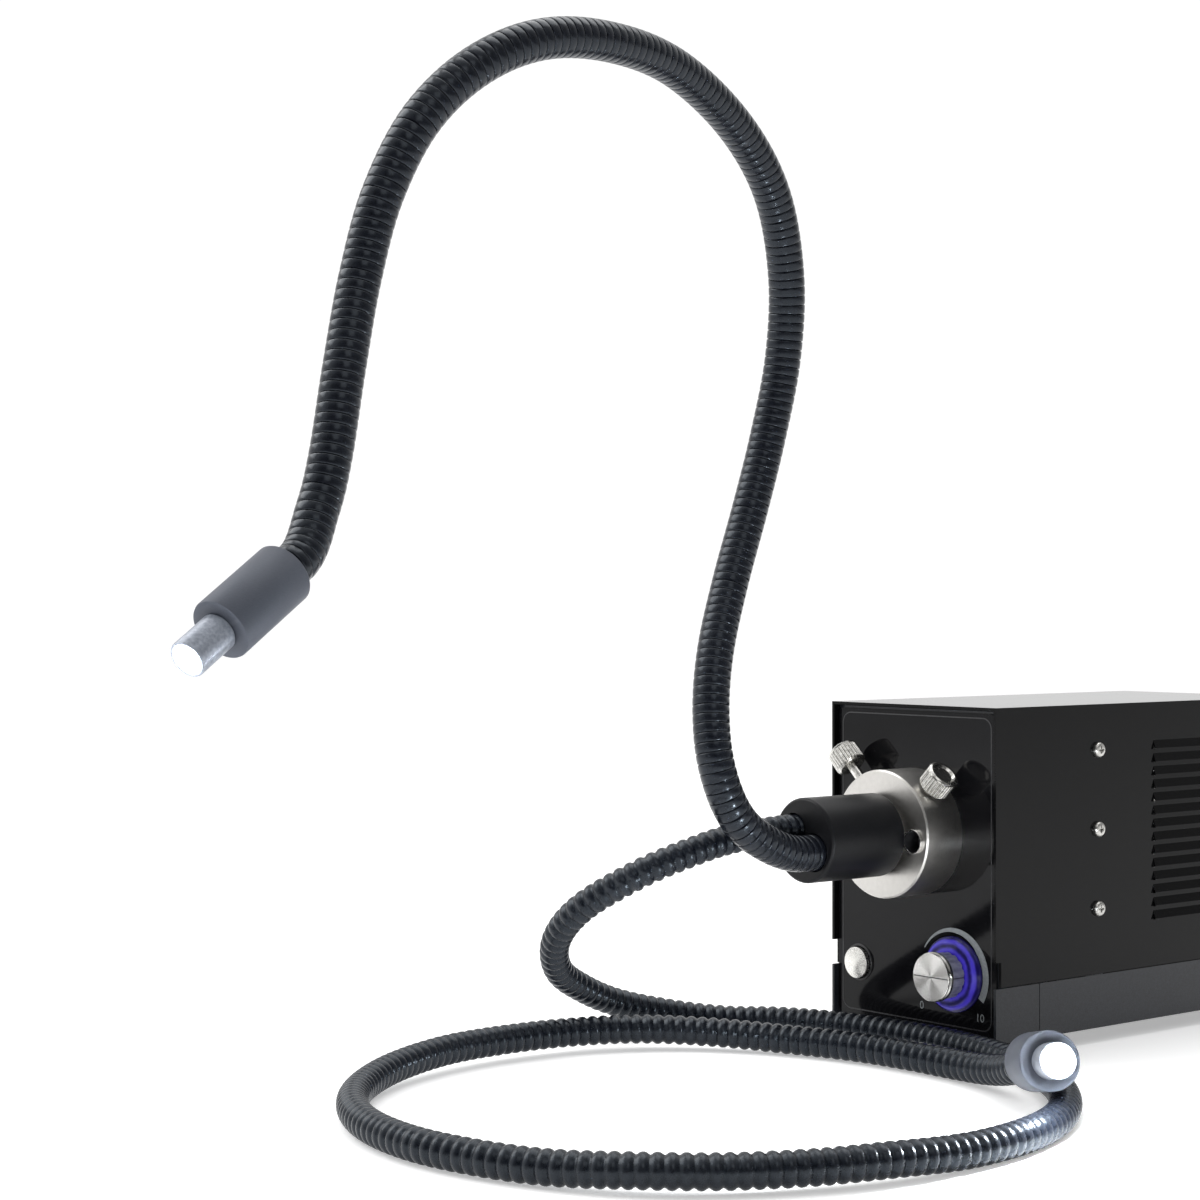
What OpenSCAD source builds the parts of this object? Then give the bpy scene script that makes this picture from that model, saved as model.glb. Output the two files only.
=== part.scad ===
// Fibre optic illuminator: a lamp housing with a light port, a self-supporting gooseneck
// and a loose ribbed light guide. Millimetres, +Z up. The front faces -Y and +X is on the right
// seen from the front. The origin is on the bench, under the middle of the housing.

/* [Housing] */
// Width of the housing
body_w = 88; // [84:1:100]
// Depth of the housing, from the front plate's face to the rear panel's face
body_d = 180; // [174:1:200]
// Height of the housing above its feet
body_h = 128; // [126:1:140]
// Thickness of the sheet metal
sheet = 1.2; // [1:0.1:1.5]
// Height of the chassis band that shows under the cover
band_h = 21; // [16:1:24]
// Length of the front plate's side flanges
front_flange = 22; // [16:1:30]
// How far the cover's rim stands past the front and the rear
lip = 3; // [2:0.5:4]
// Thickness of the glossy front overlay
overlay_t = 0.8; // [0.5:0.1:1]
// Seam between two sheet parts
seam = 0.3; // [0.2:0.1:0.5]

/* [Feet] */
// Height of the rubber feet
foot_h = 6; // [5:0.5:10]
// Largest radius of a foot
foot_r = 7.5; // [6.5:0.5:9]

/* [Ventilation] */
// Number of louvre slots in each side
louvres = 14; // [6:1:14]
// Distance from one louvre to the next
louvre_pitch = 5.3; // [5:0.1:5.5]
// Length of a louvre
louvre_len = 72; // [40:1:76]
// Height of a louvre slot
louvre_h = 2.2; // [1.6:0.1:2.6]
// Side of the square fan
fan_side = 60; // [56:1:60]
// Depth of the fan
fan_depth = 15; // [12:1:20]
// Number of fan blades
fan_blades = 7; // [5:1:9]

/* [Light port] */
// Height of the port's axis below the top of the housing
port_drop = 50; // [48:1:54]
// Outer radius of the port collar
collar_r = 25; // [24.5:0.5:27]
// Length of the collar in front of the overlay
collar_len = 19.5; // [17:0.5:24]
// Radius of the guide's steel barrel
barrel_r = 12.5; // [12:0.1:12.6]
// Radial clearance of the barrel in the collar
barrel_gap = 0.04; // [0.02:0.01:0.05]
// Radius of the thumbscrew studs
stud_r = 2; // [1.5:0.1:2.2]
// Radius of the knurled thumbscrew heads
thumb_r = 6.3; // [5.5:0.1:7]
// Height of the knurled thumbscrew heads
thumb_h = 9; // [7:0.5:11]
// How far the left thumbscrew is backed out
left_backed_out = 9.2; // [4:0.1:9.2]

/* [Controls] */
// Distance of the knob's axis from the middle, to the right
knob_x = 20.5; // [18:0.5:24]
// Height of the knob's axis below the top of the housing
knob_drop = 104; // [100:1:105]
// Radius of the knob's metal cap
knob_cap_r = 9.6; // [9:0.1:11]
// Radius of the glowing ring behind the knob
halo_r = 14.7; // [12.5:0.1:15.5]
// Distance of the push button from the middle, to the left
button_x = 30.6; // [26:0.1:32]
// Radius of the push button
button_r = 6.2; // [5:0.1:7]
// Travel of the push button
button_travel = 1.5; // [1:0.1:2]

/* [Light guide] */
// Radius of the black connector shell
shell_r = 16.2; // [15.5:0.1:18]
// Length of the connector shell
shell_len = 38.7; // [32:0.1:44]
// Bare barrel between the shell and the collar
shell_standoff = 3; // [2:0.5:5]
// Outer radius of the gooseneck, over its bands
neck_r = 6.85; // [6.5:0.05:7.2]
// Depth of the gooseneck's bands
neck_rib = 0.5; // [0.3:0.1:0.8]
// Distance from one band of the gooseneck to the next
neck_pitch = 6.2; // [6:0.1:9]
// Outer radius of the loose guide, over its ribs
guide_r = 5.65; // [5.3:0.05:5.9]
// Depth of the loose guide's ribs
guide_rib = 0.8; // [0.4:0.1:1.2]
// Distance from one rib of the loose guide to the next
guide_pitch = 10.6; // [10:0.1:14]
// Radius of the light heads
head_r = 10; // [9:0.1:10.2]
// Length of the light heads
head_len = 32; // [26:1:38]
// Radius of the tips that carry the lenses
tip_r = 6; // [5.5:0.1:7]
// Length of a tip in front of its head
tip_len = 16; // [12:1:20]

/* [Hidden] */
$fn = 48;

// Overall places
eps = 0.01;
half_w = body_w / 2;
y_front = -body_d / 2;
y_rear = body_d / 2;
z_floor = foot_h;
z_top = foot_h + body_h;
z_band = z_floor + band_h;
y_overlay = y_front - overlay_t;
inner_w = half_w - sheet;
port_z = z_top - port_drop;
knob_z = z_top - knob_drop;

// Screws: radius of shank and head, height of head, clearance of a hole over its shank
m3_r = 1.5;
m3_head_r = 3;
m3_head_h = 2;
m4_r = 2;
hole_gap = 0.05;

// Port collar and thumbscrews
y_collar = y_overlay - collar_len;
collar_bore = barrel_r + barrel_gap;
collar_spigot_r = barrel_r + 4.3;
collar_back = y_front + 4;
collar_screw_pcd_r = 21;
thumb_y = y_overlay - collar_len / 2;
thumb_tip = barrel_r + seam;
thumb_seat = collar_r + 0.8;
thumb_socket = 6;
bush_r = 4.7;
bush_wall = 0.5;
bush_x = barrel_r + barrel_gap + bush_r + 0.5;
bush_drop = 1.6;

// Inside the housing
y_bulk = y_front + 52;
bulk_t = 1.6;
sink_side = 60;
sink_base = 5;
sink_depth = 46;
y_sink = y_bulk + bulk_t;
window_r = 18;
holder_r = 17;
holder_flange_r = 26;
holder_screw_r = 22;
y_holder = y_bulk - 28;
lens_r = 13.9;
board_t = 1.6;
y_board = y_front + 10;
pcb_z = z_floor + sheet + 6;

// Rear fan and inlet
fan_top_gap = 8;
fan_z = z_top - fan_side / 2 - fan_top_gap;
fan_hole_r = fan_side / 2 - 1.4;
fan_bolt = fan_side / 2 - 5;
y_fan = y_rear - sheet - fan_depth;
rotor_r = fan_hole_r - 1;
hub_r = 12.5;
inlet_x = -14;
inlet_z = z_floor + 28;
inlet_w = 27;
inlet_h = 19.6;
inlet_pitch = 40;
inlet_flange_w = inlet_pitch + 8.5;
inlet_flange_t = 2.4;
inlet_depth = 16;

// Light guide
y_shell = y_collar - shell_standoff - shell_len;
hose_seat = 8;
split_r = 6.7;
split_angle = -38;
neck_port = [split_r * cos(split_angle), 0, split_r * sin(split_angle)];
neck_bore = 3.9;
guide_bore = 3.2;
branch_r = 2.6;
bend_gap = 1.5;
link_r = 3.3;
link_ball_r = 3.5;
link_len = 7;
spigot_len = 8;
spigot_r = tip_r - 1;
tip_groove = 0.6;
tip_edge = 0.4;
neck_end_straight = 14;
guide_end_straight = 11.5;

// Where the gooseneck's head starts, and how far it looks down and to the right
neck_head_at = [38, -254, 99];
neck_head_pitch = 32;
neck_head_yaw = 15;
// Where the loose guide's head starts, and how far it looks down and to the right
guide_head_at = [120, -8, 18.5];
guide_head_pitch = -11;
guide_head_yaw = 50;

// Route of the gooseneck from the middle of the shell's front face
neck_route = [
  [6, -27, 2], [6, -41, 13], [4, -48, 31], [0, -47, 51], [-4, -41, 73], [-8, -30, 98],
  [-10, -18, 126], [-10, -9, 153], [-7, -4, 183], [-2, -7, 213], [5, -21, 242],
  [13, -47, 263], [22, -83, 277], [29, -118, 280], [32, -150, 276], [31, -176, 264],
  [28, -196, 245], [25, -209, 220], [24, -217, 193], [27, -225, 164], [30, -232, 136],
  [32, -238, 119]];
// Places in the route, counted from its first point, where the gooseneck bends most easily
neck_bends = [3, 12, 17];

// Route of the loose guide: down from the shell's front face, then along the bench.
// On the bench the last number is the height above the hose's resting height.
guide_drop = [[-8, -28, 2], [-11, -46, -2], [-20, -65, -10], [-39, -76, -23], [-57, -74, -37]];
guide_lay = [
  [-71, -62, 27], [-78, -44, 17], [-80, -24, 9], [-75, 0, 3], [-64, 19, 0], [-49, 33, 0],
  [-28, 43, 0], [-3, 48, 0], [24, 49, 0], [50, 45, 0], [76, 36, 0], [99, 24, 0], [119, 8, 0],
  [136, -11, 0], [149, -33, 0], [157, -58, 0], [159, -86, 0], [156, -114, 1], [148, -140, 1],
  [135, -164, 1], [117, -184, 1], [94, -198, 0], [68, -207, 0], [40, -210, 0], [10, -205, 0],
  [-18, -192, 0], [-42, -172, 0], [-60, -146, 1], [-71, -116, 2], [-75, -86, 2],
  [-72, -56, 2], [-60, -30, 2], [-41, -9, 1], [-16, 6, 0], [12, 15, 0], [38, 18, 0],
  [60, 18, 0], [80, 14, 1.5], [97, 7, 5]];
guide_rest = guide_r + 0.3;

port_front = [0, y_shell, port_z];

// ---------------------------------------------------------------- curves and hoses

function unit(v) = v / norm(v);

// Direction of a head that looks forward, turned to the right by yaw and down by pitch
function aim(pitch, yaw) = [sin(yaw) * cos(pitch), -cos(yaw) * cos(pitch), -sin(pitch)];

function tangent(p, i, first, last) =
  i == 0 ? first * norm(p[1] - p[0]) :
  i == len(p) - 1 ? last * norm(p[i] - p[i - 1]) :
  (p[i + 1] - p[i - 1]) / 2;

function hermite(a, ta, b, tb, t) =
  (2 * t * t * t - 3 * t * t + 1) * a + (t * t * t - 2 * t * t + t) * ta
  + (3 * t * t - 2 * t * t * t) * b + (t * t * t - t * t) * tb;

// Points of a smooth curve through p, steps to each stretch
steps = 8;
function smooth(p, first, last) = concat(
  [for (i = [0 : len(p) - 2], k = [0 : steps - 1])
    hermite(p[i], tangent(p, i, first, last), p[i + 1], tangent(p, i + 1, first, last),
      k / steps)],
  [p[len(p) - 1]]);

// A curve with straight ends: its points, and the length along it at each of them
function with_ends(start, first, p, finish, last) =
  concat([start], smooth(p, first, last), [finish]);
function lengths(p) =
  [for (i = 0, s = 0; i < len(p); s = s + (i + 1 < len(p) ? norm(p[i + 1] - p[i]) : 0), i = i + 1) s];
function tables(p, s) = [for (k = [0 : 2]) [for (i = [0 : len(p) - 1]) [s[i], p[i][k]]]];
function place(table, s) = [lookup(s, table[0]), lookup(s, table[1]), lookup(s, table[2])];
function heading(table, s) = unit(place(table, s + 0.5) - place(table, s - 0.5));

// One ring of eight points round the curve
function ring(table, s, r, side) =
  let (t = heading(table, s), a = unit(cross(side, t)), b = cross(t, a))
  [for (k = [0 : 7]) place(table, s) + r * (cos(45 * k) * a + sin(45 * k) * b)];

function band_faces(first, second) = [for (k = [0 : 7], f = [0, 1])
  let (n = (k + 1) % 8)
  f == 0 ? [first + k, second + k, second + n] : [first + k, second + n, first + n]];

// A ribbed hose with its bore, from length s0 to length s1 along the curve
module ribbed_hose(table, s0, s1, pitch, crest, root, bore, side) {
  ribs = floor((s1 - s0) / pitch);
  step = (s1 - s0) / ribs / 2;
  outer = [for (i = [0 : 2 * ribs]) ring(table, s0 + i * step, i % 2 == 0 ? root : crest, side)];
  bores = ceil(ribs / 2);
  inner = [for (i = [0 : bores]) ring(table, s0 + i * (s1 - s0) / bores, bore, side)];
  base = 8 * len(outer);
  last = 8 * (len(outer) - 1);
  polyhedron(
    points = concat([for (r = outer) each r], [for (r = inner) each r]),
    faces = concat(
      [for (i = [0 : len(outer) - 2]) each band_faces(8 * i, 8 * i + 8)],
      [for (i = [0 : bores - 1]) each band_faces(base + 8 * i + 8, base + 8 * i)],
      band_faces(base, 0),
      band_faces(last, base + 8 * bores)));
}

// Least distance between two turns of a hose, measured on points 6 mm apart
function least_gap(table, total, r, apart) =
  let (n = floor(total / 6), p = [for (i = [0 : n]) place(table, i * 6)])
  min([for (i = [0 : n], j = [i + ceil(apart / 6) : 1 : n]) norm(p[i] - p[j])]) - 2 * r;

// The gooseneck's curve
neck_dir = aim(neck_head_pitch, neck_head_yaw);
neck_root = port_front + neck_port;
neck_end = port_front + neck_head_at;
neck_points = with_ends(
  neck_root + [0, hose_seat, 0], [0, -1, 0],
  concat([neck_root + [0, hose_seat - neck_end_straight, 0]],
    [for (q = neck_route) port_front + q],
    [neck_end + (hose_seat - neck_end_straight) * neck_dir]),
  neck_end + (hose_seat - seam) * neck_dir, neck_dir);
neck_lengths = lengths(neck_points);
neck_table = tables(neck_points, neck_lengths);
neck_total = neck_lengths[len(neck_lengths) - 1];
neck_cuts = [for (b = neck_bends) neck_lengths[1 + (b + 1) * steps]];
neck_side = [1, 0, 0];

// The loose guide's curve
guide_dir = aim(guide_head_pitch, guide_head_yaw);
guide_root = port_front - neck_port;
guide_end = [guide_head_at[0], y_shell + guide_head_at[1], guide_head_at[2]];
guide_points = with_ends(
  guide_root + [0, hose_seat, 0], [0, -1, 0],
  concat([guide_root + [0, hose_seat - guide_end_straight, 0]],
    [for (q = guide_drop) port_front + q],
    [for (q = guide_lay) [q[0], y_shell + q[1], guide_rest + q[2]]],
    [guide_end + (hose_seat - guide_end_straight) * guide_dir]),
  guide_end + (hose_seat - seam) * guide_dir, guide_dir);
guide_lengths = lengths(guide_points);
guide_table = tables(guide_points, guide_lengths);
guide_total = guide_lengths[len(guide_lengths) - 1];
guide_side = [0, 0, 1];

echo(gooseneck_length = neck_total, loose_guide_length = guide_total);
echo(gooseneck_bends = [for (s = neck_cuts) place(neck_table, s)]);
echo(loose_guide_least_gap = least_gap(guide_table, guide_total, guide_r, 60));
echo(gooseneck_least_gap = least_gap(neck_table, neck_total, neck_r, 80));

// ---------------------------------------------------------------- small shapes

module block(x0, x1, y0, y1, z0, z1) {
  translate([x0, y0, z0]) cube([x1 - x0, y1 - y0, z1 - z0]);
}

// A cylinder along Y, at x and z, from y0 to y1
module rod_y(x, z, y0, y1, r) {
  translate([x, y0, z]) rotate([-90, 0, 0]) cylinder(r = r, h = y1 - y0);
}

// A shape built along +Z from its foot, turned to look along a head's direction
module looking(at, pitch, yaw) {
  translate(at) rotate([pitch, 0, yaw]) rotate([90, 0, 0]) children();
}

// A pan head screw that stands on z = 0 with its shank below, and its cross recess
module pan_screw(r, head_r, head_h, length) {
  difference() {
    union() {
      rotate_extrude() polygon([
        [0, 0], [head_r, 0], [head_r, head_h * 0.55], [head_r * 0.82, head_h * 0.9],
        [head_r * 0.5, head_h], [0, head_h]]);
      translate([0, 0, -length]) cylinder(r = r, h = length + eps);
    }
    for (a = [0, 90])
      rotate(a) translate([-head_r * 0.5, -0.3, head_h * 0.45]) cube([head_r, 0.6, head_h]);
  }
}

// A rounded rectangle, drawn flat
module rounded(w, h, r) {
  square([w - 2 * r, h], center = true);
  square([w, h - 2 * r], center = true);
  for (x = [-1, 1], y = [-1, 1])
    translate([x * (w / 2 - r), y * (h / 2 - r)]) circle(r = r);
}

// A plate in the XZ plane from y0 to y1, drawn flat as the front sees it
module plate_y(y0, y1) {
  translate([0, y1, 0]) rotate([90, 0, 0]) linear_extrude(y1 - y0) children();
}

// ---------------------------------------------------------------- housing

foot_x = half_w - 10;
foot_y = y_rear - 16;
side_screw_y = y_front + 57;
side_screws = [for (k = [0 : 2]) z_top - 18 - k * 31.4];
tab_x = half_w - 6.5;
tab_z = [z_floor + sheet + 5, z_top - sheet - 5];

module feet_places() {
  for (x = [-foot_x, foot_x], y = [-foot_y, foot_y]) translate([x, y, 0]) children();
}

board_x = inner_w - 12.8;
board_y = [y_bulk + 16, y_bulk + 88];
pcb_w = board_x + 5;
module board_places() {
  for (x = [-board_x, board_x], y = board_y) translate([x, y, 0]) children();
}

module base_chassis() {
  color("dimgray") difference() {
    union() {
      block(-inner_w, inner_w, y_front + sheet, y_rear - sheet, z_floor, z_floor + sheet);
      for (s = [-1, 1])
        block(s > 0 ? inner_w - eps : -half_w, s > 0 ? half_w : -inner_w + eps,
          y_front + front_flange + seam, y_rear + lip, z_floor, z_band);
      for (x = [-tab_x, tab_x])
        block(x - 4, x + 4, y_rear - sheet - 5, y_rear - sheet, z_floor + eps, tab_z[0] + 4);
    }
    feet_places() cylinder(r = m3_r + hole_gap, h = 3 * z_floor);
    board_places() cylinder(r = m3_r + hole_gap, h = 3 * z_floor);
    for (x = [-tab_x, tab_x])
      rod_y(x, tab_z[0], y_rear - 10, y_rear, m3_r + hole_gap);
  }
}

louvre_y = y_front + 92;
louvre_z = z_top - 17;
hood = 1.1;
hood_wall = 0.5;
hood_rise = 1.6;
hood_drop = louvre_h;

module louvre_slots() {
  for (s = [0, 1], i = [0 : louvres - 1])
    mirror([s, 0, 0])
      translate([half_w - 2 * sheet, louvre_y, louvre_z - i * louvre_pitch - louvre_h])
        cube([2 * sheet + eps, louvre_len, louvre_h]);
}

// The pressed hood that leans out and down over each slot
module louvre_hoods() {
  for (s = [0, 1], i = [0 : louvres - 1])
    mirror([s, 0, 0])
      translate([half_w - eps, louvre_y + louvre_len, louvre_z - i * louvre_pitch])
        rotate([90, 0, 0]) linear_extrude(louvre_len)
          polygon([[0, 0], [hood, -hood_drop], [hood, hood_wall - hood_drop], [0, hood_rise]]);
}

module top_cover() {
  color([0.09, 0.09, 0.1]) difference() {
    union() {
      difference() {
        block(-half_w, half_w, y_front - lip, y_rear + lip, z_band + seam, z_top);
        block(-inner_w, inner_w, y_front - 2 * lip, y_rear + 2 * lip, 0, z_top - sheet);
      }
      for (x = [-tab_x, tab_x])
        block(x - 4, x + 4, y_rear - sheet - 5, y_rear - sheet, tab_z[1] - 4, z_top - eps);
      louvre_hoods();
    }
    louvre_slots();
    for (z = side_screws)
      translate([-body_w, side_screw_y, z]) rotate([0, 90, 0])
        cylinder(r = m3_r + hole_gap, h = 2 * body_w);
    block(-body_w, body_w, y_front - 2 * lip, y_front, z_band, z_band + 10);
    for (x = [-tab_x, tab_x])
      rod_y(x, tab_z[1], y_rear - 10, y_rear, m3_r + hole_gap);
  }
}

module at_port() { translate([0, port_z]) children(); }
module at_fan() { translate([0, fan_z]) children(); }
module at_knob() { translate([knob_x, knob_z]) children(); }
module at_button() { translate([-button_x, knob_z - 1]) children(); }

panel_gap = 0.3;
halo_spigot_r = 10.4;
standoff_r = 2.4;
standoff_x = inner_w - standoff_r - 2.4;
board_foot = z_floor + sheet + 3;
standoff_low = board_foot + standoff_r + 5.4;
standoffs = [[-standoff_x, knob_z + 12], [standoff_x, knob_z + 14], [-8, standoff_low]];

module collar_screw_places() {
  for (a = [45 : 90 : 315]) rotate(a) translate([collar_screw_pcd_r, 0]) children();
}

module front_plate() {
  z0 = z_floor;
  color("dimgray") union() {
    plate_y(y_front, y_front + sheet) difference() {
      union() {
        translate([-inner_w + seam, z0]) square([2 * (inner_w - seam), body_h - sheet - seam]);
        translate([-half_w, z0]) square([body_w, band_h]);
      }
      at_port() circle(r = collar_spigot_r + panel_gap);
      at_port() collar_screw_places() circle(r = m3_r + hole_gap);
      at_knob() circle(r = halo_spigot_r + hole_gap);
      at_button() circle(r = button_r + panel_gap);
    }
    for (s = [0, 1]) mirror([s, 0, 0])
      block(inner_w, half_w, y_front - lip, y_front + front_flange, z0, z_band);
  }
}

module front_overlay() {
  color([0.05, 0.05, 0.06]) plate_y(y_overlay, y_front) difference() {
    translate([0, (z_floor + z_top - sheet) / 2])
      rounded(2 * inner_w - 1.2, body_h - sheet - 2.6, 3);
    at_port() circle(r = collar_spigot_r + panel_gap);
    at_port() collar_screw_places() circle(r = m3_r + hole_gap);
    at_knob() circle(r = halo_spigot_r + hole_gap);
    at_button() circle(r = button_r + panel_gap);
  }
}

module rear_panel() {
  color("dimgray") plate_y(y_rear - sheet, y_rear) difference() {
    translate([-inner_w + seam, z_floor]) square([2 * (inner_w - seam), body_h - sheet - seam]);
    at_fan() circle(r = fan_hole_r);
    at_fan() for (x = [-fan_bolt, fan_bolt], y = [-fan_bolt, fan_bolt])
      translate([x, y]) circle(r = m4_r + hole_gap);
    translate([inlet_x, inlet_z]) square([inlet_w + 0.4, inlet_h + 0.4], center = true);
    for (s = [-1, 1]) translate([inlet_x + s * inlet_pitch / 2, inlet_z])
      circle(r = m3_r + hole_gap);
    for (x = [-tab_x, tab_x], z = tab_z) translate([x, z]) circle(r = m3_r + hole_gap);
  }
}

module cover_screws() {
  color("silver") for (s = [0, 1], z = side_screws) mirror([s, 0, 0])
    translate([half_w, side_screw_y, z]) rotate([0, 90, 0])
      pan_screw(m3_r, m3_head_r, m3_head_h, 6);
}

module rear_screws() {
  color("silver") for (x = [-tab_x, tab_x], z = tab_z)
    translate([x, y_rear, z]) rotate([-90, 0, 0]) pan_screw(m3_r, m3_head_r, m3_head_h, 5);
}

module rubber_feet() {
  color([0.12, 0.12, 0.12]) feet_places() difference() {
    cylinder(r1 = foot_r - 1.2, r2 = foot_r, h = foot_h);
    translate([0, 0, -1]) cylinder(r = m3_r + 0.3, h = foot_h + 2);
    translate([0, 0, -1]) cylinder(r = m3_head_r + 0.5, h = foot_h / 2 + 1);
  }
}

module foot_screws() {
  color("silver") feet_places() translate([0, 0, foot_h / 2]) rotate([180, 0, 0])
    pan_screw(m3_r, m3_head_r, m3_head_h, foot_h / 2 + sheet + 2);
}

// ---------------------------------------------------------------- light port

// Puts a shape, built along +Z, on a thumbscrew's axis: side is -1 for left and 1 for right
module on_thumb_axis(side, out) {
  translate([0, thumb_y, port_z]) rotate([0, side * 45, 0]) translate([0, 0, out]) children();
}

module port_collar() {
  color([0.78, 0.77, 0.74]) difference() {
    union() {
      rod_y(0, port_z, y_collar + 0.6, y_overlay, collar_r);
      translate([0, y_collar + 0.6, port_z]) rotate([90, 0, 0])
        cylinder(r1 = collar_r, r2 = collar_r - 0.6, h = 0.6);
      rod_y(0, port_z, y_overlay - eps, collar_back, collar_spigot_r);
    }
    rod_y(0, port_z, y_collar - 1, collar_back + 1, collar_bore);
    rod_y(bush_x, port_z - bush_drop, y_collar - 1, y_collar + 8, bush_r + hole_gap);
    for (side = [-1, 1]) on_thumb_axis(side, 0) cylinder(r = stud_r + hole_gap, h = 2 * collar_r);
    translate([0, y_overlay, port_z]) rotate([90, 0, 0]) for (a = [45 : 90 : 315])
      rotate(a) translate([collar_screw_pcd_r, 0, -1]) cylinder(r = m3_r + hole_gap, h = 6);
  }
}

module collar_screws() {
  color("silver") translate([0, y_front + sheet, port_z]) rotate([-90, 0, 0])
    for (a = [45 : 90 : 315]) rotate(a) translate([collar_screw_pcd_r, 0, 0])
      pan_screw(m3_r, m3_head_r - 0.3, m3_head_h, sheet + overlay_t + 4);
}

module index_bush() {
  color([0.85, 0.84, 0.8]) difference() {
    rod_y(bush_x, port_z - bush_drop, y_collar - 1.3, y_collar + 8, bush_r);
    rod_y(bush_x, port_z - bush_drop, y_collar - 3, y_collar + 6.5, bush_r - bush_wall);
  }
}

module thumb_stud(side, out) {
  color("silver") on_thumb_axis(side, thumb_tip + out) union() {
    cylinder(r1 = stud_r - 0.5, r2 = stud_r, h = 0.8);
    translate([0, 0, 0.8 - eps])
      cylinder(r = stud_r, h = thumb_seat - thumb_tip + thumb_socket - 0.8 + eps);
  }
}

module thumb_head(side, out) {
  color("silver") on_thumb_axis(side, thumb_seat + out) difference() {
    rotate_extrude() polygon([
      [0, 0], [thumb_r - 1.4, 0], [thumb_r, 1.2], [thumb_r, thumb_h - 0.8],
      [thumb_r - 0.8, thumb_h], [thumb_r - 2, thumb_h], [thumb_r - 3, thumb_h - 0.8],
      [0, thumb_h - 0.8]]);
    translate([0, 0, -1]) cylinder(r = stud_r + hole_gap, h = thumb_socket + 1.2);
    for (a = [0 : 12 : 348])
      rotate(a) translate([thumb_r + 0.35, 0, -1]) cylinder(r = 0.62, h = thumb_h + 2);
  }
}

module left_thumb_stud() { thumb_stud(-1, left_backed_out); }
module left_thumb_head() { thumb_head(-1, left_backed_out); }
module right_thumb_stud() { thumb_stud(1, 0); }
module right_thumb_head() { thumb_head(1, 0); }

// ---------------------------------------------------------------- rear inlet and fan

module power_inlet() {
  color([0.1, 0.1, 0.1]) difference() {
    union() {
      plate_y(y_rear, y_rear + inlet_flange_t)
        translate([inlet_x, inlet_z]) rounded(inlet_flange_w, inlet_h + 3, 4);
      plate_y(y_rear - inlet_depth, y_rear + eps)
        translate([inlet_x, inlet_z]) square([inlet_w, inlet_h], center = true);
    }
    plate_y(y_rear - inlet_depth + 2, y_rear + 5) translate([inlet_x, inlet_z]) polygon([
      [-12, -8], [12, -8], [12, 4], [8.5, 8], [-8.5, 8], [-12, 4]]);
    for (s = [-1, 1])
      rod_y(inlet_x + s * inlet_pitch / 2, inlet_z, y_rear - 1, y_rear + 5, m3_r + hole_gap);
    inlet_pin_places() square([4.1, 2.1], center = true);
  }
}

module inlet_pin_places() {
  for (p = [[-7, -2], [7, -2], [0, 2]])
    plate_y(y_rear - 20, y_rear - 3) translate([inlet_x + p[0], inlet_z + p[1]]) children();
}

module inlet_pins() {
  color("gold") inlet_pin_places() square([4, 2], center = true);
}

module inlet_screws() {
  color("silver") for (s = [-1, 1])
    translate([inlet_x + s * inlet_pitch / 2, y_rear + inlet_flange_t, inlet_z])
      rotate([-90, 0, 0]) pan_screw(m3_r, m3_head_r - 0.4, 1.6, 8);
}

module fan_frame() {
  hub_y = y_fan + 3;
  color([0.13, 0.13, 0.13]) difference() {
    union() {
      plate_y(y_fan, y_rear - sheet) at_fan() difference() {
        rounded(fan_side, fan_side, 4);
        circle(r = fan_hole_r);
      }
      rod_y(0, fan_z, y_fan, hub_y, hub_r);
      for (a = [30, 150, 270])
        translate([0, hub_y, fan_z]) rotate([90, 0, 0]) rotate(a)
          translate([0, -1.5, 0]) cube([fan_hole_r + 1, 3, 3]);
    }
    for (x = [-fan_bolt, fan_bolt], z = [-fan_bolt, fan_bolt])
      rod_y(x, fan_z + z, y_fan - 1, y_rear, m4_r + hole_gap);
    rod_y(0, fan_z, y_fan - 1, hub_y + 1, m3_r + hole_gap);
  }
}

module fan_rotor() {
  y0 = y_fan + 3.5;
  y1 = y_rear - sheet - 1;
  color([0.2, 0.2, 0.2]) union() {
    rod_y(0, fan_z, y0, y1, hub_r);
    rod_y(0, fan_z, y_fan + 0.4, y0 + eps, m3_r);
    intersection() {
      difference() {
        rod_y(0, fan_z, y0, y1, rotor_r);
        rod_y(0, fan_z, y0 - 1, y1 + 1, hub_r - 0.5);
      }
      translate([0, (y0 + y1) / 2, fan_z]) for (a = [0 : 360 / fan_blades : 359])
        rotate([0, a, 0]) rotate([0, 0, 35]) translate([-0.8, -2 * fan_depth, 0])
          cube([1.6, 4 * fan_depth, fan_side]);
    }
  }
}

module fan_guard() {
  wire = 0.8;
  gy = y_rear + wire + 0.1;
  color("silver") translate([0, gy, fan_z]) rotate([90, 0, 0]) {
    for (r = [8 : 6.5 : fan_hole_r]) rotate_extrude() translate([r, 0]) circle(r = wire);
    for (a = [45, 135]) rotate([0, 90, a]) translate([0, 0, -fan_bolt * sqrt(2) + 3])
      cylinder(r = wire, h = 2 * fan_bolt * sqrt(2) - 6);
    for (x = [-fan_bolt, fan_bolt], y = [-fan_bolt, fan_bolt]) translate([x, y, 0])
      rotate_extrude() translate([m4_r + 1.3, 0]) circle(r = wire);
  }
}

module fan_screws() {
  color("silver") for (x = [-fan_bolt, fan_bolt], z = [-fan_bolt, fan_bolt])
    translate([x, y_rear + 1.8, fan_z + z]) rotate([-90, 0, 0])
      pan_screw(m4_r, 3.8, 2.2, 1.8 + sheet + fan_depth - 2);
}

// ---------------------------------------------------------------- lamp inside

sink_bolt = sink_side / 2 - 5;

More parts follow.
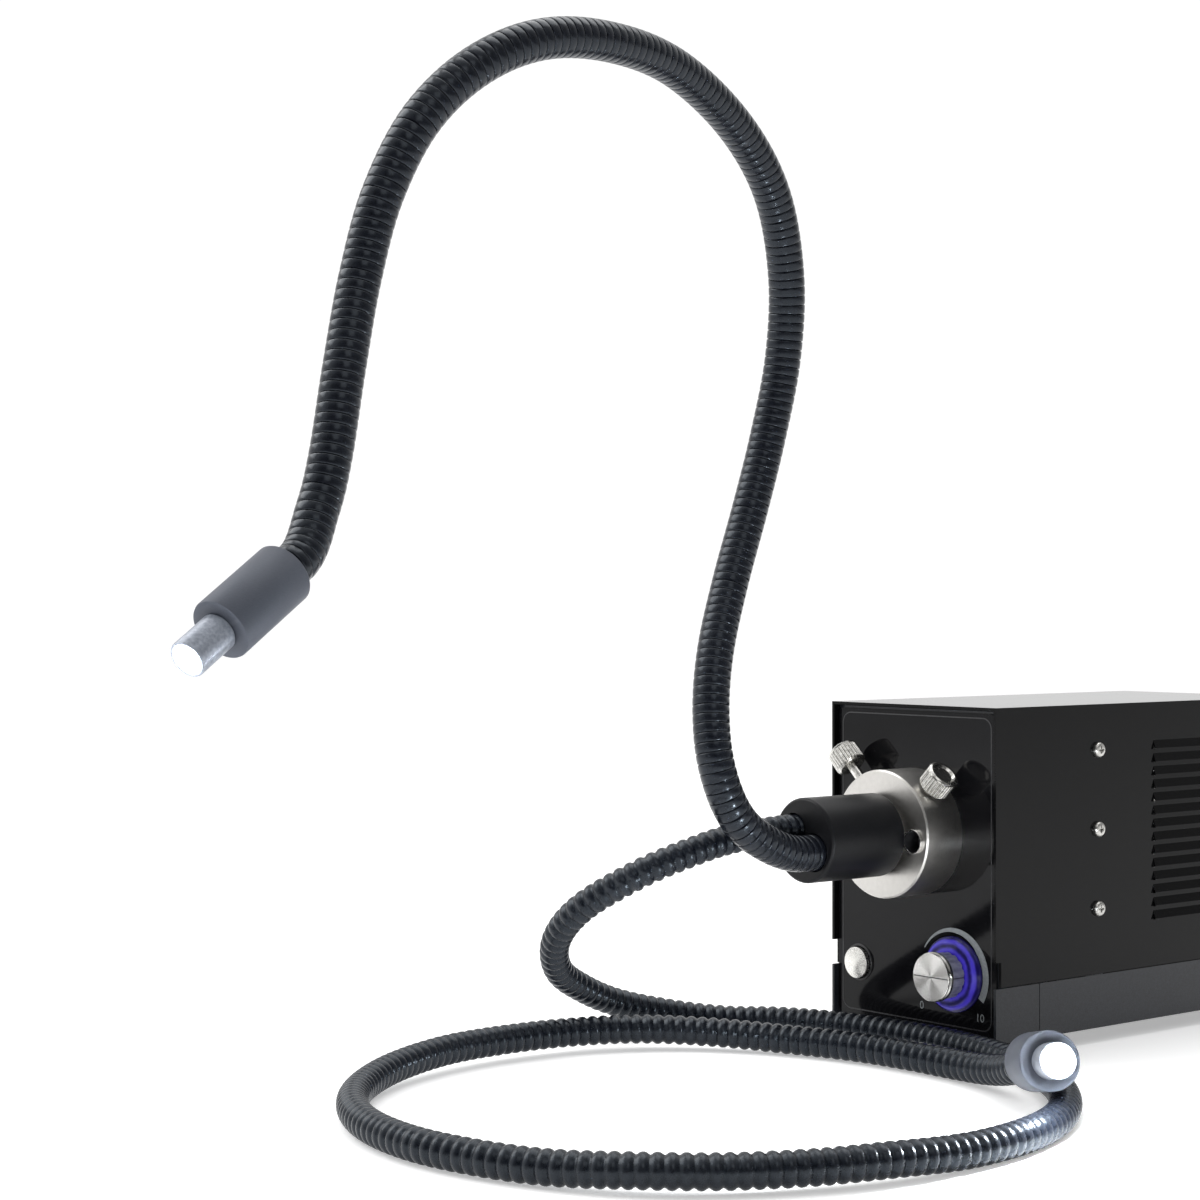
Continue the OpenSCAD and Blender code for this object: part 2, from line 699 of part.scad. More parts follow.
module bulkhead() {
  z1 = z_top - sheet - 2;
  color("silver") difference() {
    union() {
      block(-inner_w + 0.2, inner_w - 0.2, y_bulk, y_bulk + bulk_t, z_floor + sheet, z1);
      for (s = [0, 1]) mirror([s, 0, 0])
        block(inner_w - 0.2 - bulk_t, inner_w - 0.2, y_bulk, y_bulk + 10, z_floor + sheet, z1);
    }
    rod_y(0, port_z, y_bulk - 1, y_bulk + 3, window_r);
    for (x = [-sink_bolt, sink_bolt], z = [-sink_bolt, sink_bolt])
      rod_y(x, port_z + z, y_bulk - 1, y_bulk + 3, m3_r + hole_gap);
    for (a = [90, 210, 330])
      rod_y(holder_screw_r * cos(a), port_z + holder_screw_r * sin(a), y_bulk - 1, y_bulk + 3,
        m3_r + hole_gap);
    for (z = side_screws)
      translate([-body_w, side_screw_y, z]) rotate([0, 90, 0])
        cylinder(r = m3_r + hole_gap, h = 2 * body_w);
    for (x = [-24 : 12 : 24]) block(x - 3, x + 3, y_bulk - 1, y_bulk + 3, z_floor + 12, z_floor + 34);
  }
}

module heat_sink() {
  fins = 11;
  fin_t = 1.6;
  color([0.7, 0.71, 0.73]) difference() {
    union() {
      block(-sink_side / 2, sink_side / 2, y_sink, y_sink + sink_base,
        port_z - sink_side / 2, port_z + sink_side / 2);
      for (k = [0 : fins - 1])
        translate([-sink_side / 2 + k * (sink_side - fin_t) / (fins - 1), y_sink + eps,
          port_z - sink_side / 2]) cube([fin_t, sink_depth, sink_side]);
    }
    for (x = [-sink_bolt, sink_bolt], z = [-sink_bolt, sink_bolt])
      rod_y(x, port_z + z, y_sink - 1, y_sink + sink_base + 4, m3_r + hole_gap);
    for (a = [90, 210, 330])
      rod_y(holder_screw_r * cos(a), port_z + holder_screw_r * sin(a), y_sink - 1,
        y_sink + sink_base + 1, m3_r + hole_gap);
  }
}

// The screws through the bulkhead: four into the heat sink and three through the lens holder
module bulkhead_screws() {
  color("silver") union() {
    for (x = [-sink_bolt, sink_bolt], z = [-sink_bolt, sink_bolt])
      translate([x, y_bulk, port_z + z]) rotate([90, 0, 0])
        pan_screw(m3_r, m3_head_r, m3_head_h, bulk_t + sink_base + 2);
    holder_screw_places() pan_screw(m3_r, m3_head_r, m3_head_h, 3 + bulk_t + 3);
  }
}

module holder_screw_places() {
  for (a = [90, 210, 330])
    translate([holder_screw_r * cos(a), y_bulk - 3, port_z + holder_screw_r * sin(a)])
      rotate([90, 0, 0]) children();
}

module led_board() {
  color("white") difference() {
    rod_y(0, port_z, y_sink - board_t, y_sink, window_r - 2);
    for (a = [45 : 90 : 315])
      rod_y(13 * cos(a), port_z + 13 * sin(a), y_sink - 3, y_sink + 1, 1.6);
  }
}

module led_emitter() {
  color("gold") union() {
    block(-4, 4, y_sink - board_t - 1, y_sink - board_t, port_z - 4, port_z + 4);
    intersection() {
      translate([0, y_sink - board_t - 1, port_z]) sphere(r = 3.2);
      block(-4, 4, y_sink - board_t - 5, y_sink - board_t - 0.5, port_z - 4, port_z + 4);
    }
  }
}

module lens_holder() {
  color([0.15, 0.15, 0.16]) difference() {
    union() {
      rod_y(0, port_z, y_holder, y_bulk, holder_r);
      rod_y(0, port_z, y_bulk - 3, y_bulk, holder_flange_r);
    }
    rod_y(0, port_z, y_holder - 1, y_bulk + 1, lens_r - 1.4);
    rod_y(0, port_z, y_holder - 1, y_holder + 20, lens_r + 0.1);
    for (a = [90, 210, 330])
      rod_y(holder_screw_r * cos(a), port_z + holder_screw_r * sin(a), y_bulk - 4, y_bulk + 1,
        m3_r + hole_gap);
  }
}

module condenser_lens() {
  flat = y_holder + 20 - 0.1;
  ball = 24;
  color([0.8, 0.9, 1, 0.5]) intersection() {
    rod_y(0, port_z, flat - 9, flat, lens_r);
    translate([0, flat - 9 + ball, port_z]) sphere(r = ball, $fn = 96);
  }
}

// ---------------------------------------------------------------- control electronics

pot_r = 6;
pot_bush_r = 3.5;
shaft_r = 3;

module control_board() {
  color("darkgreen") difference() {
    block(-inner_w + 2.8, inner_w - 2.8, y_board, y_board + board_t, board_foot, knob_z + 18);
    rod_y(knob_x, knob_z, y_board - 1, y_board + 3, shaft_r + 0.5);
  }
}

module potentiometer_body() {
  color("steelblue") difference() {
    union() {
      rod_y(knob_x, knob_z, y_board - 6, y_board, pot_r);
      rod_y(knob_x, knob_z, y_front - 1, y_board - 6 + eps, pot_bush_r);
    }
    rod_y(knob_x, knob_z, y_front - 2, y_board - 1.5, shaft_r + hole_gap);
  }
}

module pot_shaft() {
  color("silver") rod_y(knob_x, knob_z, y_overlay - 9.2, y_board - 2, shaft_r);
}

module switch_body() {
  color([0.15, 0.15, 0.15]) difference() {
    block(-button_x - 6, -button_x + 6, y_board - 7, y_board, knob_z - 7, knob_z + 5);
    rod_y(-button_x, knob_z - 1, y_board - 8, y_board - 1, 2 + hole_gap);
  }
}

module halo_ring() {
  color([0.25, 0.2, 0.95, 0.7]) difference() {
    union() {
      rod_y(knob_x, knob_z, y_overlay - 1.2, y_overlay, halo_r);
      translate([knob_x, y_overlay - 1.2, knob_z]) rotate([90, 0, 0])
        cylinder(r1 = halo_r, r2 = halo_r - 2.2, h = 2);
      rod_y(knob_x, knob_z, y_overlay - eps, y_front + sheet + 1, halo_spigot_r);
    }
    rod_y(knob_x, knob_z, y_overlay - 5, y_front + 5, 5);
  }
}

module halo_lamps() {
  lamp_r = 1.1;
  color([0.5, 0.6, 1]) for (a = [45 : 90 : 315])
    translate([knob_x + 8 * cos(a), y_board, knob_z + 8 * sin(a)]) rotate([90, 0, 0]) {
      cylinder(r = lamp_r, h = 6);
      translate([0, 0, 6]) sphere(r = lamp_r - eps);
    }
}

knob_back = y_overlay - 3.6;
knob_len = 6.8;
knob_cap_t = 2.7;

module knob_body() {
  color([0.12, 0.12, 0.13]) difference() {
    rod_y(knob_x, knob_z, knob_back - knob_len, knob_back, knob_cap_r - 0.7);
    for (a = [0 : 24 : 336])
      rod_y(knob_x + (knob_cap_r + 0.3) * cos(a), knob_z + (knob_cap_r + 0.3) * sin(a),
        knob_back - knob_len - 1, knob_back + 1, 1.4);
    rod_y(knob_x, knob_z, knob_back - knob_len + 1, knob_back + 1, shaft_r + hole_gap);
  }
}

module knob_cap() {
  y1 = knob_back - knob_len;
  color([0.82, 0.81, 0.79]) difference() {
    union() {
      rod_y(knob_x, knob_z, y1 - knob_cap_t + 0.5, y1, knob_cap_r);
      translate([knob_x, y1 - knob_cap_t + 0.5, knob_z]) rotate([90, 0, 0])
        cylinder(r1 = knob_cap_r, r2 = knob_cap_r - 0.5, h = 0.5);
    }
    block(knob_x - knob_cap_r - 1, knob_x, y1 - knob_cap_t - 1, y1 - knob_cap_t + 0.25,
      knob_z - 0.3, knob_z + 0.3);
  }
}

module power_button() {
  z = knob_z - 1;
  y0 = y_overlay - 2.2;
  ball = 26;
  color([0.85, 0.84, 0.82]) union() {
    intersection() {
      rod_y(-button_x, z, y0 - 2, y_front + 0.6, button_r);
      translate([-button_x, y0 - 0.8 + ball, z]) sphere(r = ball, $fn = 96);
    }
    rod_y(-button_x, z, y_front + 0.6 - eps, y_board - 7 + 3, 2);
  }
}

// ---------------------------------------------------------------- power supply inside

module power_board() {
  color("darkgreen") difference() {
    block(-pcb_w, pcb_w, board_y[0] - 5, board_y[1] + 5, pcb_z, pcb_z + board_t);
    board_places() cylinder(r = m3_r + hole_gap, h = 10 * pcb_z, center = true);
  }
}

// Parts on the power board: width, depth and height, or radius and height
transformer = [28, 28, 22];
capacitor = [8, 20];
module_box = [18, 20, 14];
choke = [8, 7];
choke_bore = 3.5;
terminal = [32, 6, 9];
part_gap = 2;

module power_components() {
  z = pcb_z + board_t;
  y_near = board_y[0] + part_gap;
  color("saddlebrown") {
    translate([-transformer[0] + pcb_w * 0.23, y_near, z]) cube(transformer);
    for (x = [pcb_w * 0.23 - transformer[0], pcb_w * 0.23 - transformer[0] / 4])
      translate([x, y_near + transformer[1] + 2 * capacitor[0] - part_gap, z])
        cylinder(r = capacitor[0], h = capacitor[1]);
    translate([pcb_w - module_box[0] - part_gap, y_near + 12, z]) cube(module_box);
    translate([pcb_w * 0.57, y_near + 50, z]) difference() {
      cylinder(r = choke[0], h = choke[1]);
      translate([0, 0, -1]) cylinder(r = choke_bore, h = choke[1] + 2);
    }
    translate([-terminal[0] / 2, board_y[1] - terminal[1] - part_gap, z]) cube(terminal);
  }
}

// Spacers under the power board and between the front plate and the control board
module board_standoffs() {
  color("goldenrod") union() {
    board_places() difference() {
      translate([0, 0, z_floor + sheet]) cylinder(r = 3.2, h = pcb_z - z_floor - sheet);
      cylinder(r = m3_r + hole_gap, h = 2 * pcb_z);
    }
    for (p = standoffs) rod_y(p[0], p[1], y_front + sheet, y_board, standoff_r);
  }
}

module board_screws() {
  color("silver") board_places() translate([0, 0, pcb_z + board_t])
    pan_screw(m3_r, m3_head_r - 0.2, m3_head_h, board_t + pcb_z - z_floor);
}

// ---------------------------------------------------------------- light guide

module connector_shell() {
  y1 = y_shell + shell_len;
  color([0.1, 0.1, 0.11]) difference() {
    union() {
      rod_y(0, port_z, y_shell + 0.8, y1 - 0.5, shell_r);
      translate([0, y_shell + 0.8, port_z]) rotate([90, 0, 0])
        cylinder(r1 = shell_r, r2 = shell_r - 0.8, h = 0.8);
      translate([0, y1 - 0.5, port_z]) rotate([-90, 0, 0])
        cylinder(r1 = shell_r, r2 = shell_r - 0.5, h = 0.5);
    }
    rod_y(neck_port[0], port_z + neck_port[2], y_shell - 1, y_shell + hose_seat, neck_r + seam);
    rod_y(-neck_port[0], port_z - neck_port[2], y_shell - 1, y_shell + hose_seat, guide_r + seam);
    for (s = [-1, 1]) rod_y(s * neck_port[0], port_z + s * neck_port[2],
      y_shell + hose_seat - 1, y_shell + 16, branch_r + seam);
    rod_y(0, port_z, y_shell + 12, y1 - 10, barrel_r - 2);
    rod_y(0, port_z, y1 - 10 - eps, y1 + 1, barrel_r + hole_gap);
  }
}

module connector_barrel() {
  y0 = y_shell + shell_len - 10;
  y1 = y_holder - 2;
  color([0.75, 0.75, 0.76]) difference() {
    union() {
      rod_y(0, port_z, y0, y1 - 1, barrel_r);
      translate([0, y1 - 1, port_z]) rotate([-90, 0, 0])
        cylinder(r1 = barrel_r, r2 = barrel_r - 1, h = 1);
    }
    rod_y(0, port_z, y0 - 1, y1 + 1, 5.5);
  }
}

// The common bundle of glass fibre and its two branches
module fiber_bundle() {
  color([0.9, 0.95, 1]) union() {
    rod_y(0, port_z, y_shell + 20, y_holder - 2, 5.2);
    for (s = [-1, 1]) {
      tip = [s * neck_port[0], y_shell + 14, port_z + s * neck_port[2]];
      hub = [0, y_shell + 22, port_z];
      lean = unit(tip - hub);
      translate(hub) rotate([0, acos(lean[2]), atan2(lean[1], lean[0])])
        cylinder(r = branch_r, h = norm(tip - hub));
      rod_y(tip[0], tip[2], y_shell + 1, tip[1] + 1.5, branch_r - 0.1);
    }
  }
}

module neck_part(s0, s1) {
  color([0.16, 0.17, 0.2])
    ribbed_hose(neck_table, s0, s1, neck_pitch, neck_r, neck_r - neck_rib, neck_bore, neck_side);
}

module gooseneck_root() { neck_part(0, neck_cuts[0] - bend_gap); }
module gooseneck_rise() { neck_part(neck_cuts[0] + bend_gap, neck_cuts[1] - bend_gap); }
module gooseneck_arch() { neck_part(neck_cuts[1] + bend_gap, neck_cuts[2] - bend_gap); }
module gooseneck_drop() { neck_part(neck_cuts[2] + bend_gap, neck_total); }

// A stretch of the fibre that carries a ball in the middle of a bend
module fiber_link(k) {
  pivot = place(neck_table, neck_cuts[k]);
  back = heading(neck_table, neck_cuts[k] - link_len / 2);
  color([0.1, 0.1, 0.1]) translate(pivot) {
    sphere(r = link_ball_r);
    rotate([0, acos(-back[2]), atan2(-back[1], -back[0])]) cylinder(r = link_r, h = link_len);
  }
}

module root_fiber() { fiber_link(0); }
module rise_fiber() { fiber_link(1); }
module arch_fiber() { fiber_link(2); }

module light_head(at, pitch, yaw, hose_r) {
  color([0.2, 0.21, 0.23]) looking(at, pitch, yaw) difference() {
    union() {
      cylinder(r1 = head_r - 0.6, r2 = head_r, h = 0.6);
      translate([0, 0, 0.6 - eps]) cylinder(r = head_r, h = head_len - 1.1);
      translate([0, 0, head_len - 0.5 - eps]) cylinder(r1 = head_r, r2 = head_r - 0.5, h = 0.5);
    }
    translate([0, 0, -1]) cylinder(r = hose_r + seam, h = hose_seat + 1);
    cylinder(r = link_r, h = head_len);
    translate([0, 0, head_len - spigot_len]) cylinder(r = spigot_r + hole_gap, h = spigot_len + 1);
  }
}

module light_tip(at, pitch, yaw) {
  wall = tip_len - tip_groove - tip_edge;
  color([0.55, 0.57, 0.6]) looking(at, pitch, yaw) difference() {
    union() {
      translate([0, 0, head_len - spigot_len])
        cylinder(r = spigot_r, h = spigot_len + tip_groove + eps);
      translate([0, 0, head_len + tip_groove]) cylinder(r = tip_r, h = wall);
      translate([0, 0, head_len + tip_groove + wall - eps])
        cylinder(r1 = tip_r, r2 = tip_r - tip_edge, h = tip_edge + eps);
    }
    translate([0, 0, head_len - spigot_len - 1])
      cylinder(r = link_r, h = spigot_len + tip_len + 2);
    translate([0, 0, head_len + tip_len - 2]) cylinder(r = tip_r - 0.9, h = 3);
  }
}

// The polished end of the bundle behind the tip's rim
module tip_lens(at, pitch, yaw) {
  color("white") looking(at, pitch, yaw) {
    translate([0, 0, head_len + tip_len - 2]) cylinder(r = tip_r - 1, h = 1.7);
    translate([0, 0, head_len - 6]) cylinder(r = link_r - 0.3, h = tip_len + 4 + eps);
  }
}

module gooseneck_head() { light_head(neck_end, neck_head_pitch, neck_head_yaw, neck_r); }
module gooseneck_tip() { light_tip(neck_end, neck_head_pitch, neck_head_yaw); }
module gooseneck_lens() { tip_lens(neck_end, neck_head_pitch, neck_head_yaw); }
module flexible_head() { light_head(guide_end, guide_head_pitch, guide_head_yaw, guide_r); }
module flexible_tip() { light_tip(guide_end, guide_head_pitch, guide_head_yaw); }
module flexible_lens() { tip_lens(guide_end, guide_head_pitch, guide_head_yaw); }

module flexible_hose() {
  color([0.14, 0.15, 0.18])
    ribbed_hose(guide_table, 0, guide_total, guide_pitch, guide_r, guide_r - guide_rib,
      guide_bore, guide_side);
}

base_chassis();
top_cover();
front_plate();
front_overlay();
rear_panel();
cover_screws();
rear_screws();
rubber_feet();
foot_screws();
port_collar();
collar_screws();
index_bush();
power_inlet();
inlet_pins();
inlet_screws();
fan_frame();
fan_guard();
fan_screws();
bulkhead();
heat_sink();
bulkhead_screws();
led_board();
led_emitter();
lens_holder();
condenser_lens();
control_board();
potentiometer_body();
switch_body();
power_board();
power_components();
board_standoffs();
board_screws();
halo_ring();
halo_lamps();
knob_body();
knob_cap();
pot_shaft();
power_button();
left_thumb_stud();
left_thumb_head();
right_thumb_stud();
right_thumb_head();
fan_rotor();
connector_shell();
connector_barrel();
fiber_bundle();
gooseneck_root();
root_fiber();
flexible_hose();
flexible_head();
flexible_tip();
flexible_lens();
gooseneck_rise();
rise_fiber();
gooseneck_arch();
arch_fiber();
gooseneck_drop();
gooseneck_head();
gooseneck_tip();
gooseneck_lens();
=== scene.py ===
"""Looks of a bench-top fibre optic illuminator with a gooseneck and a loose ribbed light guide.

Every length is in metres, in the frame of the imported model: +Z up, the front panel faces -Y and
+X is on the right seen from the front. Routes of the hoses are in millimetres.
"""

import logging
import math
from dataclasses import dataclass
from enum import Enum
from typing import Callable, ClassVar, Sequence

import bpy
import numpy as np
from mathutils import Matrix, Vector

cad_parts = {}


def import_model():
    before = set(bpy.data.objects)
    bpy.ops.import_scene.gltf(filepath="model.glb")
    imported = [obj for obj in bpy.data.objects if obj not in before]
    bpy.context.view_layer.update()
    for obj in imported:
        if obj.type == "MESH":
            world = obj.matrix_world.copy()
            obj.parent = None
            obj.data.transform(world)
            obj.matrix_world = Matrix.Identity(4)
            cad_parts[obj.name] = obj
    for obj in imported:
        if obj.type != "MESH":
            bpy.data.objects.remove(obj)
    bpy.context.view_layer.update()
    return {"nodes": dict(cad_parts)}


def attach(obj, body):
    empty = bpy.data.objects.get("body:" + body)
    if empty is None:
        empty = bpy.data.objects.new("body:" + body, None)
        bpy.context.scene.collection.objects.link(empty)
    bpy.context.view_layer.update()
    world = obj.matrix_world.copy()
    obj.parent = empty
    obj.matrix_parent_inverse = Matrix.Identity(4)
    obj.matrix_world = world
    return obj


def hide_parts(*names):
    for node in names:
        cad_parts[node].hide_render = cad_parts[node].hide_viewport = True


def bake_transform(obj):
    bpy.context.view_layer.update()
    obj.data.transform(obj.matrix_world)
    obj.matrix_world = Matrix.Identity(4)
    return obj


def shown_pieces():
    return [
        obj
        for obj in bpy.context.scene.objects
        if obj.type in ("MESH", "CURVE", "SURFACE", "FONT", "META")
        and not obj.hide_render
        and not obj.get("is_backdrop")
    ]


LOG = logging.getLogger("illuminator")

Point = tuple[float, float, float]
Colour = tuple[float, float, float]
Profile = Sequence[tuple[float, float]]

# ------------ shared places and sizes, and the hoses' routes

Y_OVERLAY = -0.0908
Y_SHELL = -0.152
PORT_Z = 0.084
KNOB_X, KNOB_Z = 0.0205, 0.030
HOSE_SEAT = 0.008
PRINT_PROUD, PRINT_SUNK = 0.00006, 0.00002
FRONTWARD: Point = (0, -1, 0)
SHELL_FRONT = np.array([0, Y_SHELL, PORT_Z])
SPLIT = np.array([0.0067 * math.cos(math.radians(-38)), 0, 0.0067 * math.sin(math.radians(-38))])

NECK_ROUTE_MM = (
    (6, -27, 2), (6, -41, 13), (4, -48, 31), (0, -47, 51), (-4, -41, 73), (-8, -30, 98),
    (-10, -18, 126), (-10, -9, 153), (-7, -4, 183), (-2, -7, 213), (5, -21, 242),
    (13, -47, 263), (22, -83, 277), (29, -118, 280), (32, -150, 276), (31, -176, 264),
    (28, -196, 245), (25, -209, 220), (24, -217, 193), (27, -225, 164), (30, -232, 136),
    (32, -238, 119),
)
GUIDE_DROP_MM = ((-8, -28, 2), (-11, -46, -2), (-20, -65, -10), (-39, -76, -23), (-57, -74, -37))
GUIDE_LAY_MM = (
    (-71, -62, 27), (-78, -44, 17), (-80, -24, 9), (-75, 0, 3), (-64, 19, 0), (-49, 33, 0),
    (-28, 43, 0), (-3, 48, 0), (24, 49, 0), (50, 45, 0), (76, 36, 0), (99, 24, 0), (119, 8, 0),
    (136, -11, 0), (149, -33, 0), (157, -58, 0), (159, -86, 0), (156, -114, 1), (148, -140, 1),
    (135, -164, 1), (117, -184, 1), (94, -198, 0), (68, -207, 0), (40, -210, 0), (10, -205, 0),
    (-18, -192, 0), (-42, -172, 0), (-60, -146, 1), (-71, -116, 2), (-75, -86, 2),
    (-72, -56, 2), (-60, -30, 2), (-41, -9, 1), (-16, 6, 0), (12, 15, 0), (38, 18, 0),
    (60, 18, 0), (80, 14, 1.5), (97, 7, 5),
)
GUIDE_REST_MM = 5.95


def aim(pitch: float, yaw: float) -> np.ndarray:
    """Direction of a head.

    Args:
        pitch: how far it looks down, in degrees.
        yaw: how far it is turned to the right, in degrees.

    Returns:
        A unit vector.
    """
    p, y = math.radians(pitch), math.radians(yaw)
    return np.array([math.sin(y) * math.cos(p), -math.cos(y) * math.cos(p), -math.sin(p)])


class Route:
    """A smooth curve through given points, read by its length."""

    STEPS = 12
    NEAR = 5e-4

    def __init__(self, points: Sequence[np.ndarray], first: np.ndarray, last: np.ndarray) -> None:
        """Lays the curve; its first and last stretch are straight.

        Args:
            points: where the curve goes.
            first: its direction at the second point.
            last: its direction at the last but one point.
        """
        p = [np.array(q, float) for q in points]
        mid = p[1:-1]
        fine = [p[0]]
        for i in range(len(mid) - 1):
            a, b = mid[i], mid[i + 1]
            ta = self._tangent(mid, i, first, last)
            tb = self._tangent(mid, i + 1, first, last)
            for k in range(self.STEPS):
                t = k / self.STEPS
                fine.append((2 * t**3 - 3 * t**2 + 1) * a + (t**3 - 2 * t**2 + t) * ta
                            + (3 * t**2 - 2 * t**3) * b + (t**3 - t**2) * tb)
        fine += [mid[-1], p[-1]]
        self.fine = np.array(fine)
        self.s = np.r_[0, np.cumsum(np.linalg.norm(np.diff(self.fine, axis=0), axis=1))]
        self.length = float(self.s[-1])

    @staticmethod
    def _tangent(p: list[np.ndarray], i: int, first: np.ndarray, last: np.ndarray) -> np.ndarray:
        """The curve's rate at one point.

        Args:
            p: the points between the straight stretches.
            i: which of them.
            first: direction at the first of them.
            last: direction at the last of them.

        Returns:
            The rate, as long as the stretch that it belongs to.
        """
        if i == 0:
            return first * np.linalg.norm(p[1] - p[0])
        if i == len(p) - 1:
            return last * np.linalg.norm(p[i] - p[i - 1])
        return (p[i + 1] - p[i - 1]) / 2

    def at(self, s: np.ndarray | float) -> np.ndarray:
        """Finds the curve's points at lengths s along it."""
        return np.stack([np.interp(s, self.s, self.fine[:, k]) for k in range(3)], axis=-1)

    def heading(self, s: np.ndarray | float) -> np.ndarray:
        """Finds the curve's unit directions at lengths s along it."""
        d = self.at(np.asarray(s) + self.NEAR) - self.at(np.asarray(s) - self.NEAR)
        return d / np.linalg.norm(d, axis=-1, keepdims=True)

    def nearest(self, point: Point) -> float:
        """Finds how far along the curve its place nearest to a point is."""
        return float(self.s[np.argmin(np.linalg.norm(self.fine - np.array(point), axis=1))])


# ------------ finishes


@dataclass(frozen=True)
class Graph:
    """Adds nodes to a material or a world, with their inputs set or linked."""

    tree: bpy.types.NodeTree

    def feed(self, node: bpy.types.Node, inputs: dict[str | int, object]) -> None:
        """Sets or links inputs of a node.

        Args:
            node: the node.
            inputs: for each input, by name or number, a value or another node's output.
        """
        for key, value in inputs.items():
            if isinstance(value, bpy.types.NodeSocket):
                self.tree.links.new(value, node.inputs[key])
            else:
                node.inputs[key].default_value = value

    def add(self, kind: str, output: str, inputs: dict[str | int, object],
            **settings: object) -> bpy.types.NodeSocket:
        """Adds a node.

        Args:
            kind: the node's type, without its prefix.
            output: which of its outputs is used.
            inputs: for each input, by name or number, a value or another node's output.
            **settings: attributes of the node itself.

        Returns:
            The output.
        """
        node = self.tree.nodes.new(f"ShaderNode{kind}")
        for name, value in settings.items():
            setattr(node, name, value)
        self.feed(node, inputs)
        return node.outputs[output]

    def math(self, operation: str, *terms: object, clamp: bool = False) -> bpy.types.NodeSocket:
        """Adds a step of arithmetic, whose result can be kept between 0 and 1."""
        return self.add("Math", "Value", dict(enumerate(terms)), operation=operation,
                        use_clamp=clamp)

    def ramp(self, value: bpy.types.NodeSocket, low: tuple[float, Colour],
             high: tuple[float, Colour]) -> bpy.types.NodeSocket:
        """Turns a value into a colour between two.

        Args:
            value: the value.
            low: the lower place on the ramp and its colour.
            high: the upper place on the ramp and its colour.

        Returns:
            The colour.
        """
        colour = self.add("ValToRGB", "Color", {"Fac": value})
        for stop, (position, shade) in zip(colour.node.color_ramp.elements, (low, high)):
            stop.position, stop.color = position, (*shade, 1)
        return colour


class Pattern(Enum):
    """What breaks up a surface besides its grain."""

    NONE = "none"
    TURNED = "turned"
    SPUN_PAINTED_HIGHLIGHT = "spun"
    BRUSHED = "brushed"
    SPECKLED = "speckled"
    BOARD = "board"


